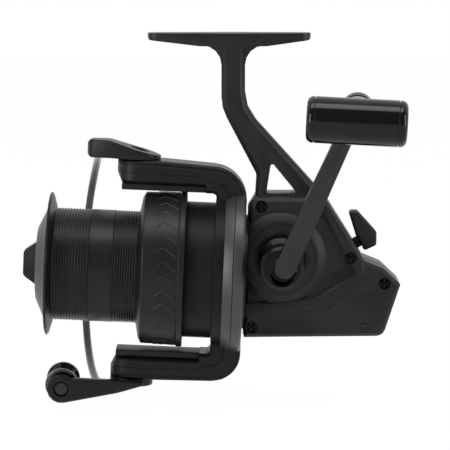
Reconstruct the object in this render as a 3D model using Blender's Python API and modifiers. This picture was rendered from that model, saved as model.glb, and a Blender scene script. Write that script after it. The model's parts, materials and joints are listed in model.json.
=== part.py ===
"""Long-cast spinning reel: foot and geared body, crank, rotor with bail, oscillating spool and drag.

World frame: origin at the centre of the foot's seat, +X to the rear of the reel, +Y away from the
handle, +Z up towards the rod. Lengths are metres.

Frames used below, each an empty:
  side     x rearward, y up, z towards the handle
  core     like side, on the rotor axis and tilted with it
  profile  x forward along the rotor axis, y out along the rotor arms, z away from the handle
  axis     x out along the rotor arms, y away from the handle, z forward along the rotor axis
"""
import math

import bmesh
import bpy
from mathutils import Matrix, Vector

MM = 0.001

# General
GAP = 0.3 * MM
WELD = 0.01 * MM
FLAT_ANGLE = math.radians(0.5)
SHARP_ANGLE = math.radians(32)
ARC_STEP = math.radians(24)
LARGE_STEPS = 36
MEDIUM_STEPS = 24
SMALL_STEPS = 12

# Layout
AXIS_DROP = 116.65 * MM
AXIS_TILT = math.radians(2.45)
CRANK_BACK = 24.3 * MM
CRANK_RISE = 9.9 * MM
BODY_HALF_WIDTH = 17.0 * MM
SEAM_DEPTH = 8.0 * MM

# Foot and stem
FOOT_LENGTH = 78.8 * MM
FOOT_WIDTH = 19.0 * MM
FOOT_TIP_WIDTH = 12.0 * MM
FOOT_TIP_THICKNESS = 3.3 * MM
FOOT_ROOT_THICKNESS = 6.2 * MM
FOOT_TIP_RADIUS = 5.0 * MM
FOOT_SIDE_RADIUS = 90.0 * MM
STEM_FRONT = -3.8 * MM
STEM_REAR = 7.65 * MM
STEM_WIDTH = 12.4 * MM
STEM_ROOT_WIDTH = 21.0 * MM
STEM_STRAIGHT = 36.0 * MM
STEM_FILLET = 10.4 * MM
STEM_FLARE = 9.4 * MM
STEM_BEND = 21.0 * MM
STEM_BEVEL = 2.4 * MM
FRONT_STRUT_X = 13.3 * MM
FRONT_STRUT_Z = -68.4 * MM
REAR_STRUT_X = 44.6 * MM
REAR_STRUT_Z = -76.9 * MM
REAR_STRUT_BEND = 60.0 * MM
WINDOW_TOP_X = 20.3 * MM
WINDOW_TOP_Z = -62.0 * MM
WINDOW_BASE_X = 18.0 * MM
WINDOW_BASE_Z = -77.5 * MM
WINDOW_BASE = 15.0 * MM
WINDOW_RADIUS = 1.0 * MM

# Body shell
BODY_FRONT = 8.0 * MM
BODY_SHOULDER = 31.9 * MM
BODY_FLOOR = 30.05 * MM
BODY_TOP_Z = -78.9 * MM
BODY_TOP_X = 13.0 * MM
SLOPE_TOP_X = 46.5 * MM
SLOPE_FOOT_X = 65.7 * MM
SLOPE_FOOT_Z = -109.6 * MM
TAIL_TOP_X = 74.6 * MM
TAIL_TOP_Z = -113.2 * MM
TAIL_X = 83.0 * MM
TAIL_Z = -121.2 * MM
TAIL_FOOT_X = 74.7 * MM
TAIL_FOOT_Z = -146.4 * MM
TAIL_RADIUS = 4.5 * MM
BODY_WALL = 3.0 * MM
BODY_CHAMFER = 3.5 * MM
COVER_CHAMFER = 1.6 * MM
COVER_WALL = 2.2 * MM
BOSS_RADIUS = 4.0 * MM
BOSS_BACK = -2.0 * MM
FRAME_RIB_WIDTH = 6.6 * MM
FRAME_RIB_RISE = 1.9 * MM
FRAME_RIB_CHAMFER = 1.3 * MM
FRAME_RIB_KNEE_X = 65.8 * MM
FRAME_RIB_KNEE_Z = -116.0 * MM
FRAME_RIB_TURN_X = 47.5 * MM
FRAME_RIB_TURN_Z = -133.2 * MM
FRAME_RIB_FRONT_Z = -136.6 * MM

# Cover screws
SCREW_HEAD_RADIUS = 2.8 * MM
SCREW_HEAD_HEIGHT = 2.0 * MM
SCREW_HEAD_SUNK = 0.5 * MM
SCREW_SHANK_RADIUS = 1.3 * MM
SCREW_LENGTH = 16.0 * MM
RIB_SCREW = 2
SCREW_FRONT_TOP_X = 15.6 * MM
SCREW_FRONT_TOP_Z = -82.9 * MM
SCREW_SLOPE_X = 58.6 * MM
SCREW_SLOPE_Z = -107.6 * MM
SCREW_TAIL_X = 75.2 * MM
SCREW_TAIL_Z = -120.4 * MM
SCREW_FLOOR_X = 10.6 * MM
SCREW_FLOOR_Z = -141.9 * MM
PLUG_X = 65.6 * MM
PLUG_Z = -142.0 * MM
PLUG_RADIUS = 1.9 * MM
PLUG_LENGTH = 4.0 * MM

# Gear train
GEAR_MODULE = 0.9 * MM
PINION_TEETH = 10
GEAR_TEETH = 41
TOOTH_RISE = 0.8 * MM
TOOTH_ROOT = 1.0 * MM
TOOTH_FACE = 3.0 * MM
TOOTH_FOOT = 0.28
TOOTH_TIP = 0.12
FACE_TOOTH_BASE = 1.5 * MM
FACE_TOOTH_TIP = 0.6 * MM
GEAR_RIM = 0.5 * MM
GEAR_DISC = 3.5 * MM
PINION_LENGTH = 6.5 * MM
PINION_STEM_RADIUS = 4.0 * MM
PINION_STEM_FRONT = 27.0 * MM
GEAR_CLEARANCE = 0.7 * MM
DRIVE_SHAFT_RADIUS = 4.0 * MM
CROSSWIND_MODULE = 0.85 * MM
CROSSWIND_DRIVER_TEETH = 18
CROSSWIND_TEETH = 40
CROSSWIND_RISE = 0.7 * MM
CROSSWIND_ROOT = 0.9 * MM
CROSSWIND_THICKNESS = 3.6 * MM
CROSSWIND_BACK = 11.8 * MM
CROSSWIND_WEB = 1.5 * MM
CROSSWIND_ANGLE = math.radians(-29.5)
CROSSWIND_STUD_RADIUS = 2.6 * MM
CROSSWIND_PIN_RADIUS = 1.5 * MM
CROSSWIND_PIN_LENGTH = 2.3 * MM
STROKE = 20.0 * MM
STROKE_BACK = 7.0 * MM

# Bearings, clutch and nose
BEARING_RADIUS = 9.0 * MM
BEARING_WIDTH = 4.0 * MM
BEARING_INSET = 1.0 * MM
NOSE_RADIUS = 28.0 * MM
NOSE_FLANGE = 3.0 * MM
NOSE_FRONT = 12.4 * MM
NOSE_FRONT_RADIUS = 17.2 * MM
PINION_BORE_GAP = 0.7 * MM
PINION_BEARING_BACK = -1.4 * MM
CLUTCH_RADIUS = 14.0 * MM
CLUTCH_SLEEVE_RADIUS = 8.0 * MM
CLUTCH_BACK = 3.0 * MM
CLUTCH_WIDTH = 8.6 * MM
FAR_CAP_RADIUS = 11.0 * MM
FAR_CAP_FACE = 8.8 * MM
FAR_CAP_HEIGHT = 3.6 * MM
GUIDE_ROD_DROP = 12.0 * MM
GUIDE_ROD_RADIUS = 1.5 * MM
GUIDE_ROD_SEAT = 5.0 * MM
GUIDE_ROD_REAR = 77.0 * MM

# Drive boss on the cover
DRIVE_BOSS_RADIUS = 22.2 * MM
DRIVE_BOSS_TOP_RADIUS = 18.2 * MM
DRIVE_BOSS_HEIGHT = 3.6 * MM
DRIVE_BOSS_EDGE = 1.2 * MM
COVER_RING_RADIUS = 16.2 * MM
COVER_RING_BORE = 11.6 * MM
COVER_RING_THICKNESS = 1.0 * MM

# Handle
HUB_FLANGE_RADIUS = 10.9 * MM
HUB_FLANGE_START = 22.0 * MM
HUB_FLANGE_END = 27.0 * MM
HUB_NECK_RADIUS = 8.6 * MM
HUB_HEAD_RADIUS = 10.2 * MM
HUB_HEAD_BELOW = 9.5 * MM
HUB_HEAD_ABOVE = 3.0 * MM
HUB_SOCKET_DEPTH = 14.0 * MM
HUB_EDGE = 1.4 * MM
ARM_DEPTH = 48.5 * MM
ARM_OFFSET = 1.5 * MM
ARM_LENGTH = 83.7 * MM
ARM_ANGLE = math.radians(69.2)
ARM_FLARE = math.radians(9.7)
ARM_ROOT_RADIUS = 5.0 * MM
ARM_TIP_RADIUS = 3.8 * MM
ARM_THICKNESS = 5.5 * MM
ARM_BEVEL = 0.9 * MM
ARM_EYE_RADIUS = 7.4 * MM
FORK_RECESS = 3.2 * MM
FOLD_PIN_RADIUS = 1.4 * MM
FOLD_PIN_SHORT = 3.0 * MM
POST_RADIUS = 3.0 * MM
POST_END = 25.0 * MM
POST_FLANGE_RADIUS = 5.4 * MM
POST_FLANGE = 1.8 * MM
POST_RIVET_RADIUS = 4.6 * MM
POST_RIVET = 1.3 * MM
GRIP_RADIUS = 10.55 * MM
GRIP_LENGTH = 45.4 * MM
GRIP_OUT = 24.5 * MM
GRIP_CAP_LENGTH = 3.8 * MM
GRIP_CAP_ROUND = 3.0 * MM
GRIP_NECK_RADIUS = 7.4 * MM
GRIP_NECK_START = 5.2 * MM
KNOB_BUSH_RADIUS = 5.2 * MM
KNOB_BUSH_LENGTH = 8.0 * MM
KNOB_SCREW_RADIUS = 4.2 * MM
KNOB_SCREW_HEIGHT = 2.0 * MM

# Anti-reverse lever
LEVER_X = 61.7 * MM
LEVER_Z = -102.9 * MM
LEVER_STUB_RADIUS = 2.8 * MM
LEVER_STUB_DEPTH = 2.8 * MM
LEVER_HALF_WIDTH = 4.2 * MM
LEVER_NOSE_X = 58.2 * MM
LEVER_NOSE_Z = -86.6 * MM
LEVER_TAIL_X = 72.0 * MM
LEVER_TAIL_Z = -97.0 * MM
LEVER_FOOT_Z = -103.4 * MM
LEVER_HEEL_X = 66.0 * MM
LEVER_HEEL_Z = -106.2 * MM
LEVER_ROUND = 1.4 * MM
LEVER_TOP_X = 62.6 * MM
LEVER_BACK_X = 61.9 * MM
LEVER_NECK_Z = -99.4 * MM
LEVER_BEVEL = 0.8 * MM

# Rotor
ROTOR_BACK = -7.0 * MM
CUP_RADIUS = 33.3 * MM
CUP_FRONT = 34.0 * MM
CUP_WALL = 2.4 * MM
CUP_BORE = 29.2 * MM
BAND_RADIUS = 36.6 * MM
BAND_FRONT = 7.7 * MM
BAND_SHOULDER = 2.0 * MM
WEB_BACK = 15.5 * MM
WEB_THICKNESS = 4.0 * MM
ROTOR_HUB_RADIUS = 9.5 * MM
ROTOR_NUT_RADIUS = 7.6 * MM
ROTOR_NUT_HEIGHT = 5.0 * MM
NUT_SIDES = 6
TOP_INNER = 38.8 * MM
TOP_OUTER = 53.4 * MM
TOP_REAR = 51.0 * MM
TOP_CORNER = 17.0 * MM
BOTTOM_INNER = 40.2 * MM
BOTTOM_OUTER = 54.2 * MM
BOTTOM_REAR = 53.4 * MM
BOTTOM_CORNER = 13.5 * MM
ARM_COVER_THICKNESS = 3.2 * MM
ARM_COVER_BACK = 11.0 * MM
ARM_COVER_FRONT = 54.0 * MM
ARM_COVER_HALF_WIDTH = 7.4 * MM
ARM_HALF_WIDTH = 9.6 * MM
ARM_INNER_CORNER = 2.0 * MM
ARM_CHIN = 5.0 * MM
ARM_EDGE_BEVEL = 1.8 * MM
ARM_POCKET_HALF_WIDTH = 3.6 * MM
ARM_POCKET_DEPTH = 6.0 * MM
ARM_POCKET_BACK = 14.0 * MM
ARM_POCKET_FRONT = 39.0 * MM
SPRING_RADIUS = 2.3 * MM
SPRING_WIRE = 0.35 * MM
SPRING_TURNS = 7
SPRING_POINTS = 6
SPRING_LENGTH = 16.0 * MM
TRIP_THICKNESS = 3.0 * MM
TRIP_LENGTH = 22.0 * MM

# Bail
BAIL_PIVOT = 46.0 * MM
PIVOT_RADIUS = 10.5 * MM
PIVOT_SCREW_RADIUS = 2.4 * MM
PIVOT_SCREW_DEPTH = 7.0 * MM
PIVOT_HEAD_RADIUS = 4.4 * MM
PIVOT_HEAD_HEIGHT = 1.4 * MM
BAIL_ARM_PLATE = 3.4 * MM
BAIL_ARM_REACH = 20.3 * MM
BAIL_ARM_RISE = 8.6 * MM
BAIL_ARM_HEEL = 1.4 * MM
BAIL_ARM_KNEE = 2.0 * MM
BAIL_ARM_KNEE_RISE = 4.9 * MM
BAIL_BOSS_RADIUS = 5.3 * MM
BAIL_ARM_BEVEL = 0.8 * MM
WIRE_RADIUS = 1.9 * MM
WIRE_TOP = 55.0 * MM
WIRE_TOP_REACH = 20.5 * MM
WIRE_TOP_SIDE = 2.0 * MM
WIRE_BOTTOM = -58.5 * MM
WIRE_BOTTOM_REACH = 14.5 * MM
WIRE_BOTTOM_SIDE = -6.4 * MM
WIRE_MID_REACH = 28.75 * MM
WIRE_SWEEP = 72.0 * MM
WIRE_TOP_EASE = 2.0
WIRE_BOTTOM_EASE = 0.77
WIRE_POINTS = 24
ROLLER_REACH = 33.8 * MM
ROLLER_DROP = 60.2 * MM
ROLLER_RADIUS = 8.2 * MM
ROLLER_GROOVE_RADIUS = 5.8 * MM
ROLLER_LENGTH = 12.4 * MM
ROLLER_FLANGE = 2.0 * MM
ROLLER_LEAN = math.radians(8)
ROLLER_ARM_OUT = 13.0 * MM
ROLLER_ARM_THICKNESS = 4.4 * MM
ROLLER_ARM_FRONT_RADIUS = 7.0 * MM
ROLLER_ARM_CHAMFER = 0.9 * MM
ROLLER_ARM_TAIL = -6.0 * MM
ROLLER_ARM_TIP = 2.2 * MM
ROLLER_ARM_BELLY_X = 6.0 * MM
ROLLER_ARM_BELLY_DROP = 61.0 * MM
ROLLER_ARM_BELLY_RADIUS = 40.0 * MM
ROLLER_SCREW_HEAD = 3.1 * MM
ROLLER_SCREW_POCKET = 3.8 * MM
ROLLER_SCREW_SUNK = 0.5 * MM
ROLLER_AXLE_RADIUS = 2.0 * MM
ROLLER_BEARING_RADIUS = 3.8 * MM
ROLLER_CAP_RADIUS = 5.4 * MM
ROLLER_CAP_HEIGHT = 2.4 * MM
WIRE_SOCKET_RADIUS = 3.0 * MM
WIRE_SOCKET_LENGTH = 4.0 * MM

# Spool, shaft and drag
SHAFT_RADIUS = 2.2 * MM
SHAFT_REAR = 57.0 * MM
SHAFT_FRONT = 92.0 * MM
SLIDER_LENGTH = 6.4 * MM
SLIDER_PLATE = 2.7 * MM
SLIDER_PLATE_BACK = 5.6 * MM
SLIDER_HALF_WIDTH = 3.3 * MM
SLIDER_WALL = 1.7 * MM
SLIDER_TOP = 4.4 * MM
SLIDER_SCREW_RADIUS = 1.2 * MM
SLIDER_SCREW_HEAD = 1.6 * MM
LIP = 88.4 * MM
LIP_RADIUS = 35.3 * MM
LIP_EDGE = 0.9 * MM
DRUM_RADIUS = 27.1 * MM
DRUM_FRONT = 85.4 * MM
DRUM_REAR = 44.9 * MM
DRUM_BAND_FRONT = 71.5 * MM
DRUM_BAND_REAR = 60.8 * MM
DRUM_BAND_RISE = 0.4 * MM
DRUM_WALL = 2.4 * MM
DRUM_FLANGE = 43.4 * MM
SKIRT_FRONT = 42.0 * MM
SKIRT_FRONT_RADIUS = 37.2 * MM
SKIRT_REAR = 21.9 * MM
SKIRT_REAR_RADIUS = 37.4 * MM
SKIRT_BEAD = 0.8 * MM
SKIRT_BEAD_WIDTH = 2.6 * MM
SKIRT_BORE = 35.0 * MM
SPOOL_HUB_RADIUS = 8.0 * MM
SPOOL_HUB_REAR = 44.0 * MM
SPOOL_WALL_BACK = 70.5 * MM
SPOOL_WALL = 4.0 * MM
SPOOL_STEPS = 30
DRAG_BORE = 15.0 * MM
DOME_RADIUS = 27.2 * MM
DOME_SHOULDER = 89.8 * MM
DOME_HEIGHT = 4.3 * MM
DOME_CROWN = 3.2 * MM
DOME_CROWN_RADIUS = 22.6 * MM
DOME_FACE_RADIUS = 18.0 * MM
SPOOL_BEARING_RADIUS = 5.4 * MM
SPOOL_BEARING_WIDTH = 4.0 * MM
WASHER_RADIUS = 14.4 * MM
WASHER_BORE = 3.0 * MM
WASHER_THICKNESS = 1.2 * MM
WASHER_COUNT = 5
RETAINER_THICKNESS = 1.0 * MM
DRAG_KNOB_RADIUS = 14.0 * MM
DRAG_KNOB_DEPTH = 5.8 * MM
DRAG_FIN_HEIGHT = 6.6 * MM
DRAG_FIN_LENGTH = 20.0 * MM
DRAG_FIN_TOP_LENGTH = 12.0 * MM
DRAG_FIN_HALF_WIDTH = 3.6 * MM
DRAG_FIN_ROUND = 2.4 * MM

# Finish: base colour, roughness, metallic
FINISHES = {
    "casting": ((0.030, 0.030, 0.031), 0.55, 0.1),
    "cover": ((0.028, 0.028, 0.029), 0.55, 0.1),
    "rotor": ((0.035, 0.035, 0.036), 0.50, 0.2),
    "spool": ((0.025, 0.025, 0.026), 0.40, 0.6),
    "knob": ((0.010, 0.010, 0.011), 0.20, 0.0),
    "black_screw": ((0.015, 0.015, 0.016), 0.35, 0.8),
    "dark_steel": ((0.060, 0.056, 0.053), 0.25, 1.0),
    "steel": ((0.55, 0.55, 0.56), 0.25, 1.0),
    "brass": ((0.62, 0.45, 0.20), 0.35, 1.0),
    "zinc": ((0.42, 0.42, 0.43), 0.45, 1.0),
    "fibre": ((0.10, 0.09, 0.08), 0.9, 0.0),
}

for item in list(bpy.data.objects):
    bpy.data.objects.remove(item)
PARTS = bpy.data.collections.new("long_cast_spinning_reel")
CUTTERS = bpy.data.collections.new("cutters")
bpy.context.scene.collection.children.link(PARTS)
bpy.context.scene.collection.children.link(CUTTERS)


def frame(name, parent=None, location=(0.0, 0.0, 0.0), rotation=(0.0, 0.0, 0.0)):
    """An empty that carries pieces, placed in its parent's axes."""
    empty = bpy.data.objects.new(name, None)
    PARTS.objects.link(empty)
    empty.parent = parent
    empty.location = location
    empty.rotation_euler = rotation
    return empty


def turned_axes(x_goes, y_goes, z_goes):
    """Euler angles of a frame whose axes point along the given directions of its parent."""
    return Matrix((x_goes, y_goes, z_goes)).transposed().to_euler()


def place(name, mesh, parent, finish):
    """An object for a mesh: a finished piece, or a hidden tool where it has no finish."""
    piece = bpy.data.objects.new(name, mesh)
    piece.parent = parent
    if finish is None:
        CUTTERS.objects.link(piece)
        piece.hide_render = True
        piece.display_type = "WIRE"
        return piece
    PARTS.objects.link(piece)
    colour, roughness, metallic = FINISHES[finish]
    material = bpy.data.materials.new(name)
    material.use_nodes = True
    shader = material.node_tree.nodes["Principled BSDF"]
    shader.inputs["Base Color"].default_value = (*colour, 1.0)
    shader.inputs["Roughness"].default_value = roughness
    shader.inputs["Metallic"].default_value = metallic
    mesh.materials.clear()
    mesh.materials.append(material)
    return piece


def as_mesh(curve):
    """The curve's evaluated shape as a welded mesh with clean flat faces."""
    drawn = bpy.data.objects.new("drawn", curve)
    bpy.context.scene.collection.objects.link(drawn)
    graph = bpy.context.evaluated_depsgraph_get()
    mesh = bpy.data.meshes.new_from_object(drawn.evaluated_get(graph))
    bpy.data.objects.remove(drawn)
    shape = bmesh.new()
    shape.from_mesh(mesh)
    bmesh.ops.remove_doubles(shape, verts=shape.verts, dist=WELD)
    bmesh.ops.dissolve_limit(shape, angle_limit=FLAT_ANGLE, verts=shape.verts, edges=shape.edges)
    bmesh.ops.recalc_face_normals(shape, faces=shape.faces)
    shape.to_mesh(mesh)
    shape.free()
    return mesh


def rounded(corners):
    """Corners (x, y) or (x, y, radius) as an outline whose round corners are drawn as arcs."""
    outline = []
    count = len(corners)
    for index, corner in enumerate(corners):
        here = Vector(corner[:2])
        if len(corner) == 2:
            outline.append(tuple(here))
            continue
        before = (Vector(corners[index - 1][:2]) - here).normalized()
        after = (Vector(corners[(index + 1) % count][:2]) - here).normalized()
        half_angle = before.angle(after) / 2
        middle = here + (before + after).normalized() * (corner[2] / math.sin(half_angle))
        start = here + before * (corner[2] / math.tan(half_angle)) - middle
        sweep = math.pi - 2 * half_angle
        turn = math.copysign(sweep, before.cross(after) * -1)
        steps = max(2, math.ceil(sweep / ARC_STEP))
        for step in range(steps + 1):
            outline.append(tuple(middle + Matrix.Rotation(turn * step / steps, 2) @ start))
    return outline


def tapered_slot(radius, far_radius, far):
    """The outline round two circles, one at the origin and one at the point far."""
    away = Vector(far)
    lean = math.acos((radius - far_radius) / away.length)
    heading = math.atan2(away.y, away.x)
    outline = []
    for middle, size, start, end in ((Vector((0, 0)), radius, lean, 2 * math.pi - lean),
                                     (away, far_radius, -lean, lean)):
        steps = max(3, math.ceil((end - start) / ARC_STEP))
        for step in range(steps + 1):
            angle = heading + start + (end - start) * step / steps
            outline.append(tuple(middle + size * Vector((math.cos(angle), math.sin(angle)))))
    return outline


def shifted(outline, across, up):
    """The outline moved by the given distances."""
    return [(x + across, y + up) for x, y in outline]


def inset(outline, distance):
    """The outline drawn the given distance further in, its corners kept sharp."""
    area = sum(Vector(outline[i - 1]).cross(Vector(outline[i])) for i in range(len(outline)))
    side = math.copysign(1.0, area)
    drawn = []
    for index, corner in enumerate(outline):
        here = Vector(corner)
        along_in = (here - Vector(outline[index - 1])).normalized()
        along_out = (Vector(outline[(index + 1) % len(outline)]) - here).normalized()
        normal_in = side * Vector((-along_in.y, along_in.x))
        normal_out = side * Vector((-along_out.y, along_out.x))
        middle = (normal_in + normal_out).normalized()
        drawn.append(tuple(here + middle * (distance / middle.dot(normal_in))))
    return drawn


def gear_outline(teeth, pitch_radius, rise, root, phase=0.0):
    """A spur gear's outline, with a tooth centred on the phase angle."""
    pitch = 2 * math.pi / teeth
    outline = []
    for tooth in range(teeth):
        middle = phase + tooth * pitch
        for radius, share in ((pitch_radius - root, -TOOTH_FOOT), (pitch_radius + rise, -TOOTH_TIP),
                              (pitch_radius + rise, TOOTH_TIP), (pitch_radius - root, TOOTH_FOOT)):
            angle = middle + share * pitch
            outline.append((radius * math.cos(angle), radius * math.sin(angle)))
    return outline


def prism(name, outline, low, high, parent, finish=None):
    """A flat outline in the parent's XY plane, standing from low to high along its Z."""
    curve = bpy.data.curves.new(name, "CURVE")
    curve.dimensions = "2D"
    curve.fill_mode = "BOTH"
    curve.extrude = (high - low) / 2
    spline = curve.splines.new("POLY")
    spline.points.add(len(outline) - 1)
    for point, (x, y) in zip(spline.points, outline):
        point.co = (x, y, 0.0, 1.0)
    spline.use_cyclic_u = True
    mesh = as_mesh(curve)
    mesh.transform(Matrix.Translation((0.0, 0.0, (low + high) / 2)))
    return place(name, mesh, parent, finish)


def tube(name, path, radius, parent, finish=None, sides=2):
    """A round wire along a path of points."""
    curve = bpy.data.curves.new(name, "CURVE")
    curve.dimensions = "3D"
    curve.bevel_depth = radius
    curve.bevel_resolution = sides
    curve.use_fill_caps = True
    spline = curve.splines.new("POLY")
    spline.points.add(len(path) - 1)
    for point, place_on_path in zip(spline.points, path):
        point.co = (*place_on_path, 1.0)
    return place(name, as_mesh(curve), parent, finish)


def turned(name, profile, parent, finish=None, steps=MEDIUM_STEPS):
    """A profile of (radius, height) pairs, down its outer side first, spun about the parent's Z."""
    edges = [(index, index + 1) for index in range(len(profile) - 1)]
    if min(profile[0][0], profile[-1][0]) > 0:
        edges.append((len(profile) - 1, 0))
    mesh = bpy.data.meshes.new(name)
    mesh.from_pydata([(radius, 0.0, height) for radius, height in profile], edges, [])
    piece = place(name, mesh, parent, finish)
    spin = piece.modifiers.new("Turn", "SCREW")
    spin.axis = "Z"
    spin.angle = 2 * math.pi
    spin.steps = steps
    spin.render_steps = steps
    spin.use_merge_vertices = True
    spin.merge_threshold = WELD
    return piece


def rod(name, radius, low, high, parent, finish=None, steps=SMALL_STEPS):
    """A plain cylinder on the parent's Z axis."""
    return turned(name, [(0, high), (radius, high), (radius, low), (0, low)], parent, finish, steps)


def ring(name, radius, bore, low, high, parent, finish=None, steps=SMALL_STEPS):
    """A plain ring on the parent's Z axis."""
    profile = [(bore, high), (radius, high), (radius, low), (bore, low)]
    return turned(name, profile, parent, finish, steps)


def combine(piece, tool, operation):
    """Add a Boolean of the tool to the piece."""
    change = piece.modifiers.new(operation.title(), "BOOLEAN")
    change.operation = operation
    change.solver = "EXACT"
    change.object = tool


def cut(piece, *tools):
    """Take the tools' shapes out of the piece."""
    for tool in tools:
        combine(piece, tool, "DIFFERENCE")


def fuse(piece, *tools):
    """Join the tools' shapes to the piece."""
    for tool in tools:
        combine(piece, tool, "UNION")


def soften(piece, width, segments=1):
    """Bevel the piece's sharp edges."""
    bevel = piece.modifiers.new("Soften", "BEVEL")
    bevel.width = width
    bevel.segments = segments
    bevel.limit_method = "ANGLE"
    bevel.angle_limit = SHARP_ANGLE


def chamfer_rim(piece, depth, width):
    """Bevel only the rim that lies at the given height of the piece's own Z."""
    mesh = piece.data
    weights = mesh.attributes.new("bevel_weight_edge", "FLOAT", "EDGE")
    for edge in mesh.edges:
        on_rim = all(abs(mesh.vertices[v].co.z - depth) < WELD for v in edge.vertices)
        weights.data[edge.index].value = 1.0 if on_rim else 0.0
    bevel = piece.modifiers.new("Rim", "BEVEL")
    bevel.width = width
    bevel.segments = 1
    bevel.limit_method = "WEIGHT"


def on_axis(forward, out):
    """Side-view coordinates of a point given along the rotor axis and out from it."""
    x = -forward * math.cos(AXIS_TILT) + out * math.sin(AXIS_TILT)
    z = -AXIS_DROP + forward * math.sin(AXIS_TILT) + out * math.cos(AXIS_TILT)
    return x, z


SIDE = frame("side", rotation=(math.pi / 2, 0.0, 0.0))
CORE = frame("core", SIDE, (0.0, -AXIS_DROP, 0.0), (0.0, 0.0, -AXIS_TILT))
FRONT = frame("front", rotation=turned_axes((0, 1, 0), (0, 0, 1), (1, 0, 0)))
CRANK = frame("crank_axis", CORE, (CRANK_BACK, CRANK_RISE, 0.0))
PROFILE = frame("rotor_profile", CORE, rotation=(0.0, math.pi, 0.0))
AXIS = frame("rotor_axis", PROFILE, rotation=turned_axes((0, 1, 0), (0, 0, 1), (1, 0, 0)))

PINION_PITCH = PINION_TEETH * GEAR_MODULE / 2
MESH_REACH = GEAR_TEETH * GEAR_MODULE / 2
GEAR_FACE = PINION_PITCH + TOOTH_ROOT
GEAR_BACK = GEAR_FACE + GEAR_DISC
GEAR_RADIUS = math.hypot(MESH_REACH + TOOTH_FACE / 2, CRANK_RISE) + GEAR_RIM
PINION_BACK = MESH_REACH - CRANK_BACK - PINION_LENGTH / 2
SHAFT_BORE = SHAFT_RADIUS + GAP
COVER_FACE = BODY_HALF_WIDTH - GAP
NEAR_BEARING_BACK = COVER_FACE - BEARING_INSET - BEARING_WIDTH
DRIVE_BOSS_TOP = COVER_FACE + DRIVE_BOSS_HEIGHT
HUB_HEAD_START = ARM_DEPTH - HUB_HEAD_BELOW
HUB_END = ARM_DEPTH + HUB_HEAD_ABOVE
CROSSWIND_PITCH = CROSSWIND_TEETH * CROSSWIND_MODULE / 2
DRIVER_PITCH = CROSSWIND_DRIVER_TEETH * CROSSWIND_MODULE / 2
CROSSWIND_CENTRE_X = CRANK_BACK + (CROSSWIND_PITCH + DRIVER_PITCH) * math.cos(CROSSWIND_ANGLE)
CROSSWIND_CENTRE_Y = CRANK_RISE + (CROSSWIND_PITCH + DRIVER_PITCH) * math.sin(CROSSWIND_ANGLE)
CROSSWIND_FACE = CROSSWIND_THICKNESS - CROSSWIND_BACK
CROSSWIND_WEB_RADIUS = CROSSWIND_PITCH + DRIVER_PITCH - BEARING_RADIUS - BODY_WALL
SLIDER_REST = CROSSWIND_CENTRE_X + STROKE / 2 - STROKE_BACK
DOME_FRONT = DOME_SHOULDER + DOME_HEIGHT
DRAG_KNOB_FACE = DOME_FRONT + GAP
DRAG_KNOB_BACK = DOME_SHOULDER - DRAG_KNOB_DEPTH
DRAG_FIN_FRONT = DRAG_KNOB_FACE + DRAG_FIN_HEIGHT
ROTOR_ARMS = (("top", 1, TOP_INNER, TOP_OUTER, TOP_REAR, TOP_CORNER),
              ("bottom", -1, BOTTOM_INNER, BOTTOM_OUTER, BOTTOM_REAR, BOTTOM_CORNER))
COVER_SCREWS = ((SCREW_FRONT_TOP_X, SCREW_FRONT_TOP_Z), (SCREW_SLOPE_X, SCREW_SLOPE_Z),
                (SCREW_TAIL_X, SCREW_TAIL_Z), (SCREW_FLOOR_X, SCREW_FLOOR_Z))


def body_corners():
    """Corners of the geared body's side outline, from its front foot round over the top to the tail."""
    return [
        on_axis(-BODY_FRONT, -BODY_FLOOR),
        on_axis(-BODY_FRONT, BODY_SHOULDER),
        (BODY_TOP_X, BODY_TOP_Z),
        (SLOPE_TOP_X, BODY_TOP_Z),
        (SLOPE_FOOT_X, SLOPE_FOOT_Z),
        (TAIL_TOP_X, TAIL_TOP_Z),
        (TAIL_X, TAIL_Z),
        (TAIL_FOOT_X, TAIL_FOOT_Z),
    ]


def cavity(name, low, high):
    """The hollow inside the body, with posts left standing for the cover screws."""
    hollow = prism(name, inset(body_corners(), BODY_WALL), low, high, SIDE)
    for number, (x, z) in enumerate(COVER_SCREWS, 1):
        post = frame(f"{name}_post_{number}", SIDE, (x, z, 0.0))
        cut(hollow, rod(f"{name}_post_shape_{number}", BOSS_RADIUS, BOSS_BACK, BODY_HALF_WIDTH, post))
    return hollow


def foot():
    """The foot: a plan outline and a side outline crossed."""
    half = FOOT_LENGTH / 2
    tip = FOOT_TIP_WIDTH / 2
    plan = prism("foot_plan", rounded([
        (-half, -tip, FOOT_TIP_RADIUS), (0.0, -FOOT_WIDTH / 2, FOOT_SIDE_RADIUS),
        (half, -tip, FOOT_TIP_RADIUS), (half, tip, FOOT_TIP_RADIUS),
        (0.0, FOOT_WIDTH / 2, FOOT_SIDE_RADIUS), (-half, tip, FOOT_TIP_RADIUS),
    ]), -FOOT_ROOT_THICKNESS * 2, 0.0, None)
    profile = prism("foot_profile", rounded([
        (-half, FOOT_TIP_THICKNESS), (half, FOOT_TIP_THICKNESS),
        (half, -FOOT_TIP_THICKNESS, FOOT_TIP_THICKNESS / 2),
        (STEM_REAR + STEM_FILLET, -FOOT_ROOT_THICKNESS), (STEM_FRONT - STEM_FILLET, -FOOT_ROOT_THICKNESS),
        (-half, -FOOT_TIP_THICKNESS, FOOT_TIP_THICKNESS / 2),
    ]), -FOOT_WIDTH, FOOT_WIDTH, SIDE)
    combine(plan, profile, "INTERSECT")
    return plan


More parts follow.
